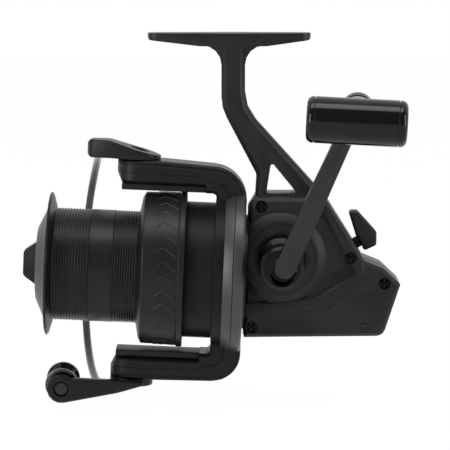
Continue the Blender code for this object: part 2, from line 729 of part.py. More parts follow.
def stem():
    """The stem and its two struts: a side outline crossed with a front outline, edges bevelled."""
    tuck = FOOT_ROOT_THICKNESS / 2
    waist = FRONT_STRUT_X - BODY_TOP_X
    side = prism("stem_side", rounded([
        (STEM_FRONT, -tuck), (STEM_REAR, -tuck), (STEM_REAR, -STEM_STRAIGHT, STEM_BEND),
        (REAR_STRUT_X, REAR_STRUT_Z, REAR_STRUT_BEND), (SLOPE_FOOT_X - waist, SLOPE_FOOT_Z),
        (BODY_TOP_X, SLOPE_FOOT_Z), on_axis(-BODY_FRONT, BODY_SHOULDER), (BODY_TOP_X - waist, BODY_TOP_Z),
        (FRONT_STRUT_X, FRONT_STRUT_Z, STEM_FILLET / 2), (STEM_FRONT, -STEM_STRAIGHT, STEM_BEND),
    ]), -FOOT_WIDTH, FOOT_WIDTH, SIDE)
    half = STEM_WIDTH / 2
    root = STEM_ROOT_WIDTH / 2
    front = prism("stem_front", [
        (-half, 0.0), (half, 0.0), (root, 2 * SLOPE_FOOT_Z), (-root, 2 * SLOPE_FOOT_Z),
    ], -FOOT_LENGTH, FOOT_LENGTH, FRONT)
    combine(side, front, "INTERSECT")
    soften(side, STEM_BEVEL)
    flare = half - STEM_BEVEL / 2
    below = -FOOT_ROOT_THICKNESS - 2 * STEM_FILLET
    fuse(side, prism("stem_flare", rounded([
        (STEM_FRONT - STEM_FILLET, -tuck), (STEM_REAR + STEM_FILLET, -tuck),
        (STEM_REAR + STEM_FILLET, -FOOT_ROOT_THICKNESS + GAP), (STEM_REAR, -FOOT_ROOT_THICKNESS, STEM_FLARE),
        (STEM_REAR, below), (STEM_FRONT, below), (STEM_FRONT, -FOOT_ROOT_THICKNESS, STEM_FLARE),
        (STEM_FRONT - STEM_FILLET, -FOOT_ROOT_THICKNESS + GAP),
    ]), -flare, flare, SIDE))
    return side


def nose():
    """The round nose that reaches into the rotor and carries the pinion and the clutch."""
    shape = turned("nose_shape", [
        (0, NOSE_FRONT), (NOSE_FRONT_RADIUS, NOSE_FRONT), (NOSE_FRONT_RADIUS, 0),
        (NOSE_RADIUS, -NOSE_FLANGE), (NOSE_RADIUS, -BODY_FRONT), (0, -BODY_FRONT),
    ], AXIS, steps=LARGE_STEPS)
    deep = BODY_FRONT + BODY_WALL / 2
    high = NOSE_RADIUS - BODY_WALL
    fuse(shape, prism("nose_root", [(NOSE_FLANGE, -high), (deep, -high), (deep, high), (NOSE_FLANGE, high)],
                      BODY_CHAMFER - BODY_HALF_WIDTH, SEAM_DEPTH - GAP, CORE))
    return shape


def body():
    """Housing, cover and everything fixed to them."""
    corners = body_corners()
    outline = rounded(corners[:-1] + [(*corners[-1], TAIL_RADIUS)])
    housing = prism("body_housing", outline, -BODY_HALF_WIDTH, SEAM_DEPTH, SIDE, "casting")
    chamfer_rim(housing, -BODY_HALF_WIDTH, BODY_CHAMFER)
    fuse(housing, stem(), foot(), nose())
    window = prism("window", rounded([
        (WINDOW_TOP_X, WINDOW_TOP_Z, WINDOW_RADIUS),
        (WINDOW_BASE_X + WINDOW_BASE, WINDOW_BASE_Z, WINDOW_RADIUS),
        (WINDOW_BASE_X, WINDOW_BASE_Z, WINDOW_RADIUS),
    ]), -FOOT_WIDTH, FOOT_WIDTH, SIDE)
    cut(housing, window, cavity("housing_hollow", BODY_WALL - BODY_HALF_WIDTH, BODY_HALF_WIDTH))
    gear_room = rod("gear_room", GEAR_RADIUS + GEAR_CLEARANCE,
                    GEAR_FACE - TOOTH_ROOT - TOOTH_RISE - GEAR_CLEARANCE, GEAR_BACK + GEAR_CLEARANCE,
                    CRANK, steps=LARGE_STEPS)
    cut(housing, gear_room)
    bore = PINION_PITCH + TOOTH_RISE + PINION_BORE_GAP
    front = NOSE_FRONT + BODY_WALL
    back = -BODY_FRONT - 2 * BODY_WALL
    cut(housing, turned("nose_bore", [
        (0, front), (CLUTCH_RADIUS + GAP, front), (CLUTCH_RADIUS + GAP, CLUTCH_BACK - GAP),
        (BEARING_RADIUS + GAP, CLUTCH_BACK - GAP), (BEARING_RADIUS + GAP, PINION_BEARING_BACK - GAP),
        (bore, PINION_BEARING_BACK - GAP), (bore, back), (0, back),
    ], AXIS))
    cut(housing, rod("far_bearing_bore", BEARING_RADIUS + GAP, -2 * BODY_HALF_WIDTH,
                     -BODY_HALF_WIDTH / 2, CRANK, steps=MEDIUM_STEPS))
    guide = frame("guide_axis", PROFILE, (0.0, -GUIDE_ROD_DROP, 0.0),
                  turned_axes((0, 1, 0), (0, 0, 1), (1, 0, 0)))
    cut(housing, rod("guide_bore", GUIDE_ROD_RADIUS + GAP, -GUIDE_ROD_REAR, -GUIDE_ROD_SEAT, guide))
    fuse(housing, rod("crosswind_stud", CROSSWIND_STUD_RADIUS, -BODY_HALF_WIDTH + BODY_WALL / 2,
                      CROSSWIND_FACE, CROSSWIND))
    cut(housing, lever_stub("lever_bore", LEVER_STUB_RADIUS + GAP, -2 * LEVER_STUB_DEPTH, LEVER_STUB_DEPTH))
    rod("guide_rod", GUIDE_ROD_RADIUS, -GUIDE_ROD_REAR + GAP, -GUIDE_ROD_SEAT - GAP, guide, "steel")

    cover = prism("side_cover", outline, SEAM_DEPTH + GAP, COVER_FACE, SIDE, "cover")
    chamfer_rim(cover, COVER_FACE, COVER_CHAMFER)
    fuse(cover, frame_rib(), turned("drive_boss", [
        (0, DRIVE_BOSS_TOP), (DRIVE_BOSS_TOP_RADIUS, DRIVE_BOSS_TOP),
        (DRIVE_BOSS_RADIUS, COVER_FACE + DRIVE_BOSS_EDGE), (DRIVE_BOSS_RADIUS, SEAM_DEPTH + COVER_WALL),
        (0, SEAM_DEPTH + COVER_WALL),
    ], CRANK, steps=LARGE_STEPS))
    reach = BODY_FRONT + GAP
    cut(cover, prism("cover_front", [
        (-reach, -AXIS_DROP), (reach, -AXIS_DROP), (reach, AXIS_DROP), (-reach, AXIS_DROP),
    ], 0.0, 2 * DRIVE_BOSS_TOP, CORE))
    cut(cover, cavity("cover_hollow", -BODY_HALF_WIDTH, COVER_FACE - COVER_WALL), gear_room)
    fuse(cover, rod("bearing_seat", BEARING_RADIUS + COVER_WALL, NEAR_BEARING_BACK, COVER_FACE, CRANK,
                    steps=MEDIUM_STEPS))
    seat_front = NEAR_BEARING_BACK + BEARING_WIDTH + GAP
    passage = DRIVE_SHAFT_RADIUS + BEARING_INSET
    cut(cover, turned("near_bearing_bore", [
        (0, 2 * DRIVE_BOSS_TOP), (passage, 2 * DRIVE_BOSS_TOP), (passage, seat_front),
        (BEARING_RADIUS + GAP, seat_front), (BEARING_RADIUS + GAP, 0), (0, 0),
    ], CRANK))

    for number, (x, z) in enumerate(COVER_SCREWS, 1):
        spot = frame(f"cover_screw_axis_{number}", SIDE, (x, z, 0.0))
        cover_screw(number, spot, housing, cover)
    spot = frame("oil_port_axis", SIDE, (PLUG_X, PLUG_Z, 0.0))
    rod("oil_port_plug", PLUG_RADIUS, COVER_FACE - PLUG_LENGTH, COVER_FACE, spot, "zinc")
    cut(cover, rod("oil_port", PLUG_RADIUS + GAP, COVER_FACE - PLUG_LENGTH - GAP, 2 * COVER_FACE, spot))

    ring("drive_cover_ring", COVER_RING_RADIUS, COVER_RING_BORE, DRIVE_BOSS_TOP + GAP,
         DRIVE_BOSS_TOP + GAP + COVER_RING_THICKNESS, CRANK, "cover", LARGE_STEPS)
    shaft_bore = DRIVE_SHAFT_RADIUS + GAP
    ring("drive_bearing_near", BEARING_RADIUS, shaft_bore, NEAR_BEARING_BACK,
         NEAR_BEARING_BACK + BEARING_WIDTH, CRANK, "steel")
    ring("drive_bearing_far", BEARING_RADIUS, shaft_bore, -BODY_HALF_WIDTH + GAP,
         -BODY_HALF_WIDTH + GAP + BEARING_WIDTH, CRANK, "steel")
    turned("far_side_cap", [
        (0, -BODY_HALF_WIDTH - GAP), (FAR_CAP_RADIUS, -BODY_HALF_WIDTH - GAP),
        (FAR_CAP_RADIUS, -BODY_HALF_WIDTH - FAR_CAP_HEIGHT / 2),
        (FAR_CAP_FACE, -BODY_HALF_WIDTH - FAR_CAP_HEIGHT), (0, -BODY_HALF_WIDTH - FAR_CAP_HEIGHT),
    ], CRANK, "casting")
    ring("pinion_bearing", BEARING_RADIUS, PINION_STEM_RADIUS + GAP, PINION_BEARING_BACK,
         CLUTCH_BACK - GAP, AXIS, "steel")
    ring("roller_clutch", CLUTCH_RADIUS, CLUTCH_SLEEVE_RADIUS + GAP, CLUTCH_BACK,
         CLUTCH_BACK + CLUTCH_WIDTH, AXIS, "steel")


def frame_rib():
    """The raised band down the rear strut and forward along the cover's lower side."""
    slope = Vector((SLOPE_FOOT_X - SLOPE_TOP_X, SLOPE_FOOT_Z - BODY_TOP_Z)).normalized()
    across = Vector((slope.y, -slope.x)) * FRAME_RIB_WIDTH
    lean = across.x
    front = on_axis(-BODY_FRONT, -BODY_FLOOR)[0]
    rib = prism("frame_rib", [
        (SLOPE_TOP_X, BODY_TOP_Z), (SLOPE_FOOT_X, SLOPE_FOOT_Z), (FRAME_RIB_KNEE_X, FRAME_RIB_KNEE_Z),
        (FRAME_RIB_TURN_X, FRAME_RIB_TURN_Z), (front, FRAME_RIB_FRONT_Z),
        (front, FRAME_RIB_FRONT_Z + FRAME_RIB_WIDTH),
        (FRAME_RIB_TURN_X + lean, FRAME_RIB_TURN_Z + FRAME_RIB_WIDTH),
        (FRAME_RIB_KNEE_X + lean, FRAME_RIB_KNEE_Z), (SLOPE_TOP_X + lean, BODY_TOP_Z),
    ], COVER_FACE - COVER_WALL, COVER_FACE + FRAME_RIB_RISE, SIDE)
    chamfer_rim(rib, COVER_FACE + FRAME_RIB_RISE, FRAME_RIB_CHAMFER)
    return rib


def cover_screw(number, spot, housing, cover):
    """One cover screw, sunk in the cover and seated in a post of the housing."""
    top = COVER_FACE + FRAME_RIB_RISE if number == RIB_SCREW else COVER_FACE
    head = top - SCREW_HEAD_SUNK
    under = head - SCREW_HEAD_HEIGHT
    end = head - SCREW_LENGTH
    turned(f"cover_screw_{number}", [
        (0, head), (SCREW_HEAD_RADIUS, head), (SCREW_HEAD_RADIUS, under), (SCREW_SHANK_RADIUS, under),
        (SCREW_SHANK_RADIUS, end), (0, end),
    ], spot, "black_screw", SMALL_STEPS)
    hole = turned(f"screw_hole_{number}", [
        (0, 2 * top), (SCREW_HEAD_RADIUS + GAP, 2 * top), (SCREW_HEAD_RADIUS + GAP, under - GAP),
        (SCREW_SHANK_RADIUS + GAP, under - GAP), (SCREW_SHANK_RADIUS + GAP, end - GAP), (0, end - GAP),
    ], spot, steps=SMALL_STEPS)
    cut(housing, hole)
    cut(cover, hole)


def lever_stub(name, radius, low, high):
    """A round stub square to the body's rear slope, at the lever's place."""
    slope = Vector((SLOPE_FOOT_X - SLOPE_TOP_X, SLOPE_FOOT_Z - BODY_TOP_Z)).normalized()
    spot = frame(f"{name}_axis", LEVER, rotation=turned_axes(
        (slope.x, slope.y, 0), (0, 0, 1), (slope.y, -slope.x, 0)))
    return rod(name, radius, -high, -low, spot)


def lever():
    """The anti-reverse lever: a thumb hook on a stub in the rear slope."""
    hook = prism("anti_reverse_lever", shifted(rounded([
        (LEVER_NOSE_X, LEVER_NOSE_Z, LEVER_ROUND), (LEVER_TOP_X, LEVER_NOSE_Z, LEVER_ROUND),
        (LEVER_TAIL_X, LEVER_TAIL_Z, LEVER_ROUND), (LEVER_TAIL_X, LEVER_FOOT_Z, LEVER_ROUND),
        (LEVER_HEEL_X, LEVER_HEEL_Z), (LEVER_BACK_X + LEVER_BEVEL, LEVER_NECK_Z),
        (LEVER_BACK_X, LEVER_NECK_Z + LEVER_BEVEL),
    ]), -LEVER_X, -LEVER_Z), -LEVER_HALF_WIDTH, LEVER_HALF_WIDTH, LEVER, "cover")
    soften(hook, LEVER_BEVEL)
    fuse(hook, lever_stub("lever_stub", LEVER_STUB_RADIUS, -LEVER_STUB_DEPTH, LEVER_STUB_DEPTH * 2))


def drive_gear():
    """The face gear on its shaft, with the small gear that drives the oscillation."""
    end = HUB_FLANGE_START + HUB_SOCKET_DEPTH
    gear = turned("drive_gear", [
        (0, end), (DRIVE_SHAFT_RADIUS, end), (DRIVE_SHAFT_RADIUS, GEAR_BACK), (GEAR_RADIUS, GEAR_BACK),
        (GEAR_RADIUS, GEAR_FACE), (DRIVE_SHAFT_RADIUS, GEAR_FACE), (DRIVE_SHAFT_RADIUS, -BODY_HALF_WIDTH),
        (0, -BODY_HALF_WIDTH),
    ], CRANK, "zinc", LARGE_STEPS)
    teeth = bmesh.new()
    for tooth in range(GEAR_TEETH):
        bar = bmesh.ops.create_cube(teeth, size=1.0)["verts"]
        for vert in bar:
            tip = vert.co.z < 0
            vert.co.x *= TOOTH_FACE
            vert.co.y *= FACE_TOOTH_TIP if tip else FACE_TOOTH_BASE
            vert.co.z = GEAR_FACE - TOOTH_ROOT - TOOTH_RISE if tip else GEAR_FACE + GAP
            vert.co.x -= MESH_REACH
            vert.co.y -= CRANK_RISE
        bmesh.ops.rotate(teeth, verts=bar, matrix=Matrix.Rotation(2 * math.pi * tooth / GEAR_TEETH, 3, "Z"))
    mesh = bpy.data.meshes.new("face_teeth")
    teeth.to_mesh(mesh)
    teeth.free()
    driver = gear_outline(CROSSWIND_DRIVER_TEETH, DRIVER_PITCH, CROSSWIND_RISE, CROSSWIND_ROOT,
                          CROSSWIND_ANGLE)
    fuse(gear, place("face_teeth", mesh, CRANK, None),
         prism("oscillation_driver", driver, -CROSSWIND_BACK, CROSSWIND_FACE, CRANK))


def handle():
    """Hub, arm and knob post, all turning with the crank."""
    hub = turned("handle_hub", [
        (0, HUB_END), (HUB_HEAD_RADIUS - HUB_EDGE, HUB_END), (HUB_HEAD_RADIUS, HUB_END - HUB_EDGE),
        (HUB_HEAD_RADIUS, HUB_HEAD_START), (HUB_NECK_RADIUS, HUB_HEAD_START - HUB_EDGE),
        (HUB_NECK_RADIUS, HUB_FLANGE_END), (HUB_FLANGE_RADIUS, HUB_FLANGE_END - HUB_EDGE),
        (HUB_FLANGE_RADIUS, HUB_FLANGE_START + COVER_RING_THICKNESS),
        (HUB_FLANGE_RADIUS, HUB_FLANGE_START + GAP), (0, HUB_FLANGE_START + GAP),
    ], CRANK, "rotor", LARGE_STEPS)
    cut(hub, rod("hub_socket", DRIVE_SHAFT_RADIUS + GAP, 0.0, HUB_FLANGE_START + HUB_SOCKET_DEPTH + GAP,
                 CRANK))
    half = ARM_THICKNESS / 2
    outline = tapered_slot(ARM_ROOT_RADIUS, ARM_TIP_RADIUS, (ARM_LENGTH, 0.0))
    arm = prism("handle_arm", outline, -half, half, ARM, "rotor")
    eye = frame("arm_eye", ARM, (ARM_LENGTH, 0.0, 0.0))
    fuse(arm, rod("eye_shape", ARM_EYE_RADIUS, -half, half, eye, steps=MEDIUM_STEPS))
    soften(arm, ARM_BEVEL)
    room = tapered_slot(ARM_ROOT_RADIUS + GAP, ARM_TIP_RADIUS + GAP, (ARM_LENGTH + FORK_RECESS, 0.0))
    cut(hub, prism("fork_slot", shifted(room, -FORK_RECESS, 0.0), -half - GAP, HUB_END, ARM))
    pin_axis = frame("fold_pin_axis", ARM, (FOLD_PIN_RADIUS, 0.0, 0.0), (math.pi / 2, 0.0, 0.0))
    reach = HUB_HEAD_RADIUS - FOLD_PIN_SHORT
    rod("fold_pin", FOLD_PIN_RADIUS, -reach, reach, pin_axis, "steel")
    room = rod("fold_pin_bore", FOLD_PIN_RADIUS + GAP, -2 * reach, 2 * reach, pin_axis)
    cut(hub, room)
    cut(arm, room)
    cut(arm, rod("post_bore", POST_RADIUS + GAP, -ARM_THICKNESS, ARM_THICKNESS, eye))
    turned("knob_post", [
        (0, POST_END), (POST_RADIUS, POST_END), (POST_RADIUS, half + GAP + POST_FLANGE),
        (POST_FLANGE_RADIUS, half + GAP + POST_FLANGE), (POST_FLANGE_RADIUS, half + GAP),
        (POST_RADIUS, half + GAP), (POST_RADIUS, -half - GAP), (POST_RIVET_RADIUS, -half - GAP),
        (POST_RIVET_RADIUS, -half - GAP - POST_RIVET), (0, -half - GAP - POST_RIVET),
    ], eye, "steel")
    rod("knob_screw", KNOB_SCREW_RADIUS, POST_END + GAP, POST_END + GAP + KNOB_SCREW_HEIGHT, eye,
        "black_screw")


def knob():
    """The T knob with its end caps and bush, free on the post."""
    grip_axis = frame("grip_axis", KNOB, (0.0, 0.0, GRIP_OUT), (0.0, math.pi / 2, 0.0))
    half = GRIP_LENGTH / 2 - GRIP_CAP_LENGTH
    grip = rod("handle_knob", GRIP_RADIUS, -half, half, grip_axis, "knob", MEDIUM_STEPS)
    neck_end = GRIP_NECK_START + KNOB_BUSH_LENGTH
    fuse(grip, turned("grip_neck", [
        (0, GRIP_OUT), (GRIP_RADIUS, GRIP_OUT), (GRIP_NECK_RADIUS + GAP, neck_end),
        (GRIP_NECK_RADIUS, GRIP_NECK_START), (0, GRIP_NECK_START),
    ], KNOB))
    screw_low = POST_END
    screw_high = POST_END + 2 * GAP + KNOB_SCREW_HEIGHT
    cut(grip, turned("grip_bore", [
        (0, screw_high), (KNOB_SCREW_RADIUS + GAP, screw_high), (KNOB_SCREW_RADIUS + GAP, screw_low),
        (POST_RADIUS + GAP, screw_low), (POST_RADIUS + GAP, neck_end + GAP),
        (KNOB_BUSH_RADIUS + GAP, neck_end + GAP), (KNOB_BUSH_RADIUS + GAP, 0), (0, 0),
    ], KNOB))
    ring("knob_bush", KNOB_BUSH_RADIUS, POST_RADIUS + GAP, GRIP_NECK_START, neck_end, KNOB, "brass")
    for name, turn in (("knob_cap_rear", 0.0), ("knob_cap_front", math.pi)):
        end = frame(f"{name}_axis", grip_axis, rotation=(0.0, turn, 0.0))
        top = GRIP_LENGTH / 2
        edge = rounded([(0, top), (GRIP_RADIUS, top, GRIP_CAP_ROUND), (GRIP_RADIUS, half + GAP)])
        turned(name, edge + [(0, half + GAP)], end, "knob")


def oscillation():
    """The crosswind gear with its eccentric pin."""
    half_pitch = math.pi / CROSSWIND_TEETH
    phase = CROSSWIND_ANGLE + math.pi + half_pitch
    outline = gear_outline(CROSSWIND_TEETH, CROSSWIND_PITCH, CROSSWIND_RISE, CROSSWIND_ROOT, phase)
    gear = prism("crosswind_gear", outline, -CROSSWIND_BACK, CROSSWIND_FACE, CROSSWIND, "brass")
    fuse(gear, rod("crosswind_web", CROSSWIND_WEB_RADIUS, -CROSSWIND_BACK - CROSSWIND_WEB,
                   CROSSWIND_FACE - GAP, CROSSWIND))
    cut(gear, rod("crosswind_bore", CROSSWIND_STUD_RADIUS + GAP, -2 * CROSSWIND_BACK, CROSSWIND_BACK,
                  CROSSWIND))
    pin = frame("crosswind_pin_axis", CROSSWIND, (STROKE / 2 - STROKE_BACK, math.sqrt(
        STROKE * STROKE_BACK - STROKE_BACK ** 2), 0.0))
    fuse(gear, rod("crosswind_pin", CROSSWIND_PIN_RADIUS, -CROSSWIND_BACK + GAP,
                   CROSSWIND_FACE + CROSSWIND_PIN_LENGTH, pin))


def rotor_arm(name, side, inner, outer, rear, corner):
    """One rotor arm: a side outline crossed with a round-ended plan."""
    front = BAIL_PIVOT + PIVOT_RADIUS
    flat_end = BAIL_PIVOT - PIVOT_RADIUS - ARM_EDGE_BEVEL
    cover_top = inner + ARM_COVER_THICKNESS + GAP
    root = CUP_BORE + CUP_WALL / 2
    corners = [
        (ARM_COVER_FRONT, cover_top), (front, cover_top + ARM_CHIN), (front, outer), (flat_end, outer),
        (ROTOR_BACK, rear, corner), (ROTOR_BACK, root), (BAND_FRONT, root),
        (BAND_FRONT, inner, ARM_INNER_CORNER), (ARM_COVER_BACK - GAP, inner),
        (ARM_COVER_BACK - GAP, cover_top),
    ]
    outline = [(x, side * y) for x, y in rounded(corners)]
    arm = prism(f"rotor_arm_{name}", outline, -2 * ARM_HALF_WIDTH, 2 * ARM_HALF_WIDTH, PROFILE)
    plan_axes = frame(f"arm_plan_{name}", PROFILE, rotation=(-math.pi / 2, 0.0, 0.0))
    length = BAIL_PIVOT + 2 * corner
    plan = shifted(tapered_slot(PIVOT_RADIUS, ARM_HALF_WIDTH, (-length, 0.0)), BAIL_PIVOT, 0.0)
    combine(arm, prism(f"arm_plan_shape_{name}", plan, -2 * outer, 2 * outer, plan_axes), "INTERSECT")
    soften(arm, ARM_EDGE_BEVEL)
    return arm


def rotor():
    """The rotor with its pinion, clutch sleeve, nut, arm covers, bail spring and trip lever."""
    web_front = WEB_BACK + WEB_THICKNESS
    bore = PINION_STEM_RADIUS + GAP
    sleeve_front = CLUTCH_BACK + CLUTCH_WIDTH + GAP
    piece = turned("rotor", [
        (CUP_RADIUS - CUP_WALL, CUP_FRONT), (CUP_RADIUS, CUP_FRONT), (CUP_RADIUS, BAND_FRONT + GAP),
        (BAND_RADIUS, BAND_FRONT), (BAND_RADIUS, BAND_SHOULDER), (CUP_RADIUS + CUP_WALL, ROTOR_BACK / 2),
        (CUP_RADIUS + GAP, ROTOR_BACK), (CUP_BORE, ROTOR_BACK), (CUP_BORE, WEB_BACK),
        (ROTOR_HUB_RADIUS, WEB_BACK), (ROTOR_HUB_RADIUS, sleeve_front + GAP), (bore, sleeve_front + GAP),
        (bore, web_front), (CUP_RADIUS - CUP_WALL, web_front),
    ], AXIS, "rotor", LARGE_STEPS)
    for name, side, inner, outer, rear, corner in ROTOR_ARMS:
        floor = inner + ARM_COVER_THICKNESS
        fuse(piece, rotor_arm(name, side, inner, outer, rear, corner))
        pocket = [(ARM_POCKET_BACK, side * (floor - GAP)), (ARM_POCKET_FRONT, side * (floor - GAP)),
                  (ARM_POCKET_FRONT, side * (floor + ARM_POCKET_DEPTH)),
                  (ARM_POCKET_BACK, side * (floor + ARM_POCKET_DEPTH))]
        cut(piece, prism(f"arm_pocket_{name}", pocket, -ARM_POCKET_HALF_WIDTH, ARM_POCKET_HALF_WIDTH,
                         PROFILE))
        lid_back = ARM_COVER_BACK + ARM_EDGE_BEVEL
        lid = [(lid_back, side * inner), (ARM_COVER_FRONT, side * inner),
               (ARM_COVER_FRONT, side * floor), (lid_back, side * floor)]
        soften(prism(f"arm_cover_{name}", lid, -ARM_COVER_HALF_WIDTH, ARM_COVER_HALF_WIDTH, PROFILE,
                     "cover"), GAP)
        pivot = frame(f"pivot_{name}", PROFILE, (BAIL_PIVOT, 0.0, 0.0), (-side * math.pi / 2, 0.0, 0.0))
        head_low = outer + BAIL_ARM_PLATE - PIVOT_HEAD_HEIGHT
        end = outer - PIVOT_SCREW_DEPTH
        turned(f"bail_pivot_screw_{name}", [
            (0, head_low + PIVOT_HEAD_HEIGHT), (PIVOT_HEAD_RADIUS, head_low + PIVOT_HEAD_HEIGHT),
            (PIVOT_HEAD_RADIUS, head_low), (PIVOT_SCREW_RADIUS, head_low), (PIVOT_SCREW_RADIUS, end),
            (0, end),
        ], pivot, "black_screw", SMALL_STEPS)
        cut(piece, rod(f"pivot_hole_{name}", PIVOT_SCREW_RADIUS + GAP, end - GAP, 2 * outer, pivot))

    pinion = prism("pinion_gear", gear_outline(PINION_TEETH, PINION_PITCH, TOOTH_RISE, TOOTH_ROOT,
                                               -math.pi / 2 + math.pi / PINION_TEETH),
                   PINION_BACK, PINION_BACK + PINION_LENGTH, AXIS, "brass")
    fuse(pinion, rod("pinion_stem", PINION_STEM_RADIUS, PINION_BACK + PINION_LENGTH - TOOTH_ROOT,
                     PINION_STEM_FRONT, AXIS))
    cut(pinion, rod("pinion_shaft_bore", SHAFT_BORE, -BODY_FRONT * 3, CUP_FRONT * 2, AXIS))
    ring("clutch_sleeve", CLUTCH_SLEEVE_RADIUS, bore, CLUTCH_BACK, sleeve_front, AXIS, "steel")
    nut_low = web_front + GAP
    nut = rod("rotor_nut", ROTOR_NUT_RADIUS, nut_low, nut_low + ROTOR_NUT_HEIGHT, AXIS, "steel", NUT_SIDES)
    cut(nut, rod("nut_bore", bore, 0.0, CUP_FRONT * 2, AXIS))

    spring_start = ARM_POCKET_BACK + SPRING_WIRE + GAP
    spring_out = -(BOTTOM_INNER + ARM_COVER_THICKNESS + GAP + SPRING_WIRE + SPRING_RADIUS)
    points = SPRING_TURNS * SPRING_POINTS
    coil = []
    for point in range(points + 1):
        turn = 2 * math.pi * SPRING_TURNS * point / points
        coil.append((spring_start + SPRING_LENGTH * point / points,
                     spring_out + SPRING_RADIUS * math.cos(turn), SPRING_RADIUS * math.sin(turn)))
    tube("bail_spring", coil, SPRING_WIRE, PROFILE, "steel", sides=1)
    floor = TOP_INNER + ARM_COVER_THICKNESS
    trip = [(ARM_POCKET_BACK + GAP, floor + GAP), (ARM_POCKET_BACK + TRIP_LENGTH, floor + GAP),
            (ARM_POCKET_BACK + TRIP_LENGTH, floor + ARM_POCKET_DEPTH - GAP),
            (ARM_POCKET_BACK + TRIP_LENGTH - TRIP_THICKNESS, floor + ARM_POCKET_DEPTH - GAP),
            (ARM_POCKET_BACK + TRIP_LENGTH - TRIP_THICKNESS, floor + TRIP_THICKNESS),
            (ARM_POCKET_BACK + GAP, floor + TRIP_THICKNESS)]
    prism("bail_trip_lever", trip, -TRIP_THICKNESS / 2, TRIP_THICKNESS / 2, PROFILE, "zinc")


def wire_path(start=0.0, end=1.0):
    """Points of the bail wire, round from the bail arm to the roller arm, in the bail's frame."""
    path = []
    for step in range(WIRE_POINTS + 1):
        share = start + (end - start) * step / WIRE_POINTS
        turn = math.pi * share
        upper = share < 0.5
        near_reach = WIRE_TOP_REACH if upper else WIRE_BOTTOM_REACH
        ease = WIRE_TOP_EASE if upper else WIRE_BOTTOM_EASE
        bulge = max(0.0, math.sin(turn))
        reach = near_reach + (WIRE_MID_REACH - near_reach) * bulge ** ease
        height = (WIRE_TOP + WIRE_BOTTOM) / 2 + (WIRE_TOP - WIRE_BOTTOM) / 2 * math.cos(turn)
        side = WIRE_TOP_SIDE + (WIRE_BOTTOM_SIDE - WIRE_TOP_SIDE) * share + WIRE_SWEEP * bulge
        path.append((reach, height, side))
    return path


def pivot_bore(name, outer, pivot):
    """The room for a pivot screw and its head, in a plate that lies on a rotor arm."""
    head_room = outer + BAIL_ARM_PLATE - PIVOT_HEAD_HEIGHT - GAP
    return turned(name, [
        (0, 2 * outer), (PIVOT_HEAD_RADIUS + GAP, 2 * outer), (PIVOT_HEAD_RADIUS + GAP, head_room),
        (PIVOT_SCREW_RADIUS + GAP, head_room), (PIVOT_SCREW_RADIUS + GAP, 0), (0, 0),
    ], pivot, steps=SMALL_STEPS)


def roller_plate():
    """The roller arm's side outline: a round front end, a straight upper edge and a curved belly."""
    edge = BOTTOM_OUTER + 2 * GAP
    middle = Vector((ROLLER_REACH, -ROLLER_DROP))
    radius = ROLLER_ARM_FRONT_RADIUS
    belly = Vector((ROLLER_ARM_BELLY_X, -ROLLER_ARM_BELLY_DROP)) - middle
    start = math.pi - math.asin((ROLLER_DROP - edge) / radius)
    end = math.atan2(belly.y, belly.x) + math.acos(radius / belly.length)
    steps = math.ceil((start - end) / ARC_STEP)
    outline = []
    for step in range(steps + 1):
        angle = start + (end - start) * step / steps
        outline.append(tuple(middle + radius * Vector((math.cos(angle), math.sin(angle)))))
    return rounded(outline + [
        (ROLLER_ARM_BELLY_X, -ROLLER_ARM_BELLY_DROP, ROLLER_ARM_BELLY_RADIUS),
        (ROLLER_ARM_TAIL, -edge - ROLLER_ARM_TIP), (ROLLER_ARM_TAIL, -edge),
    ])


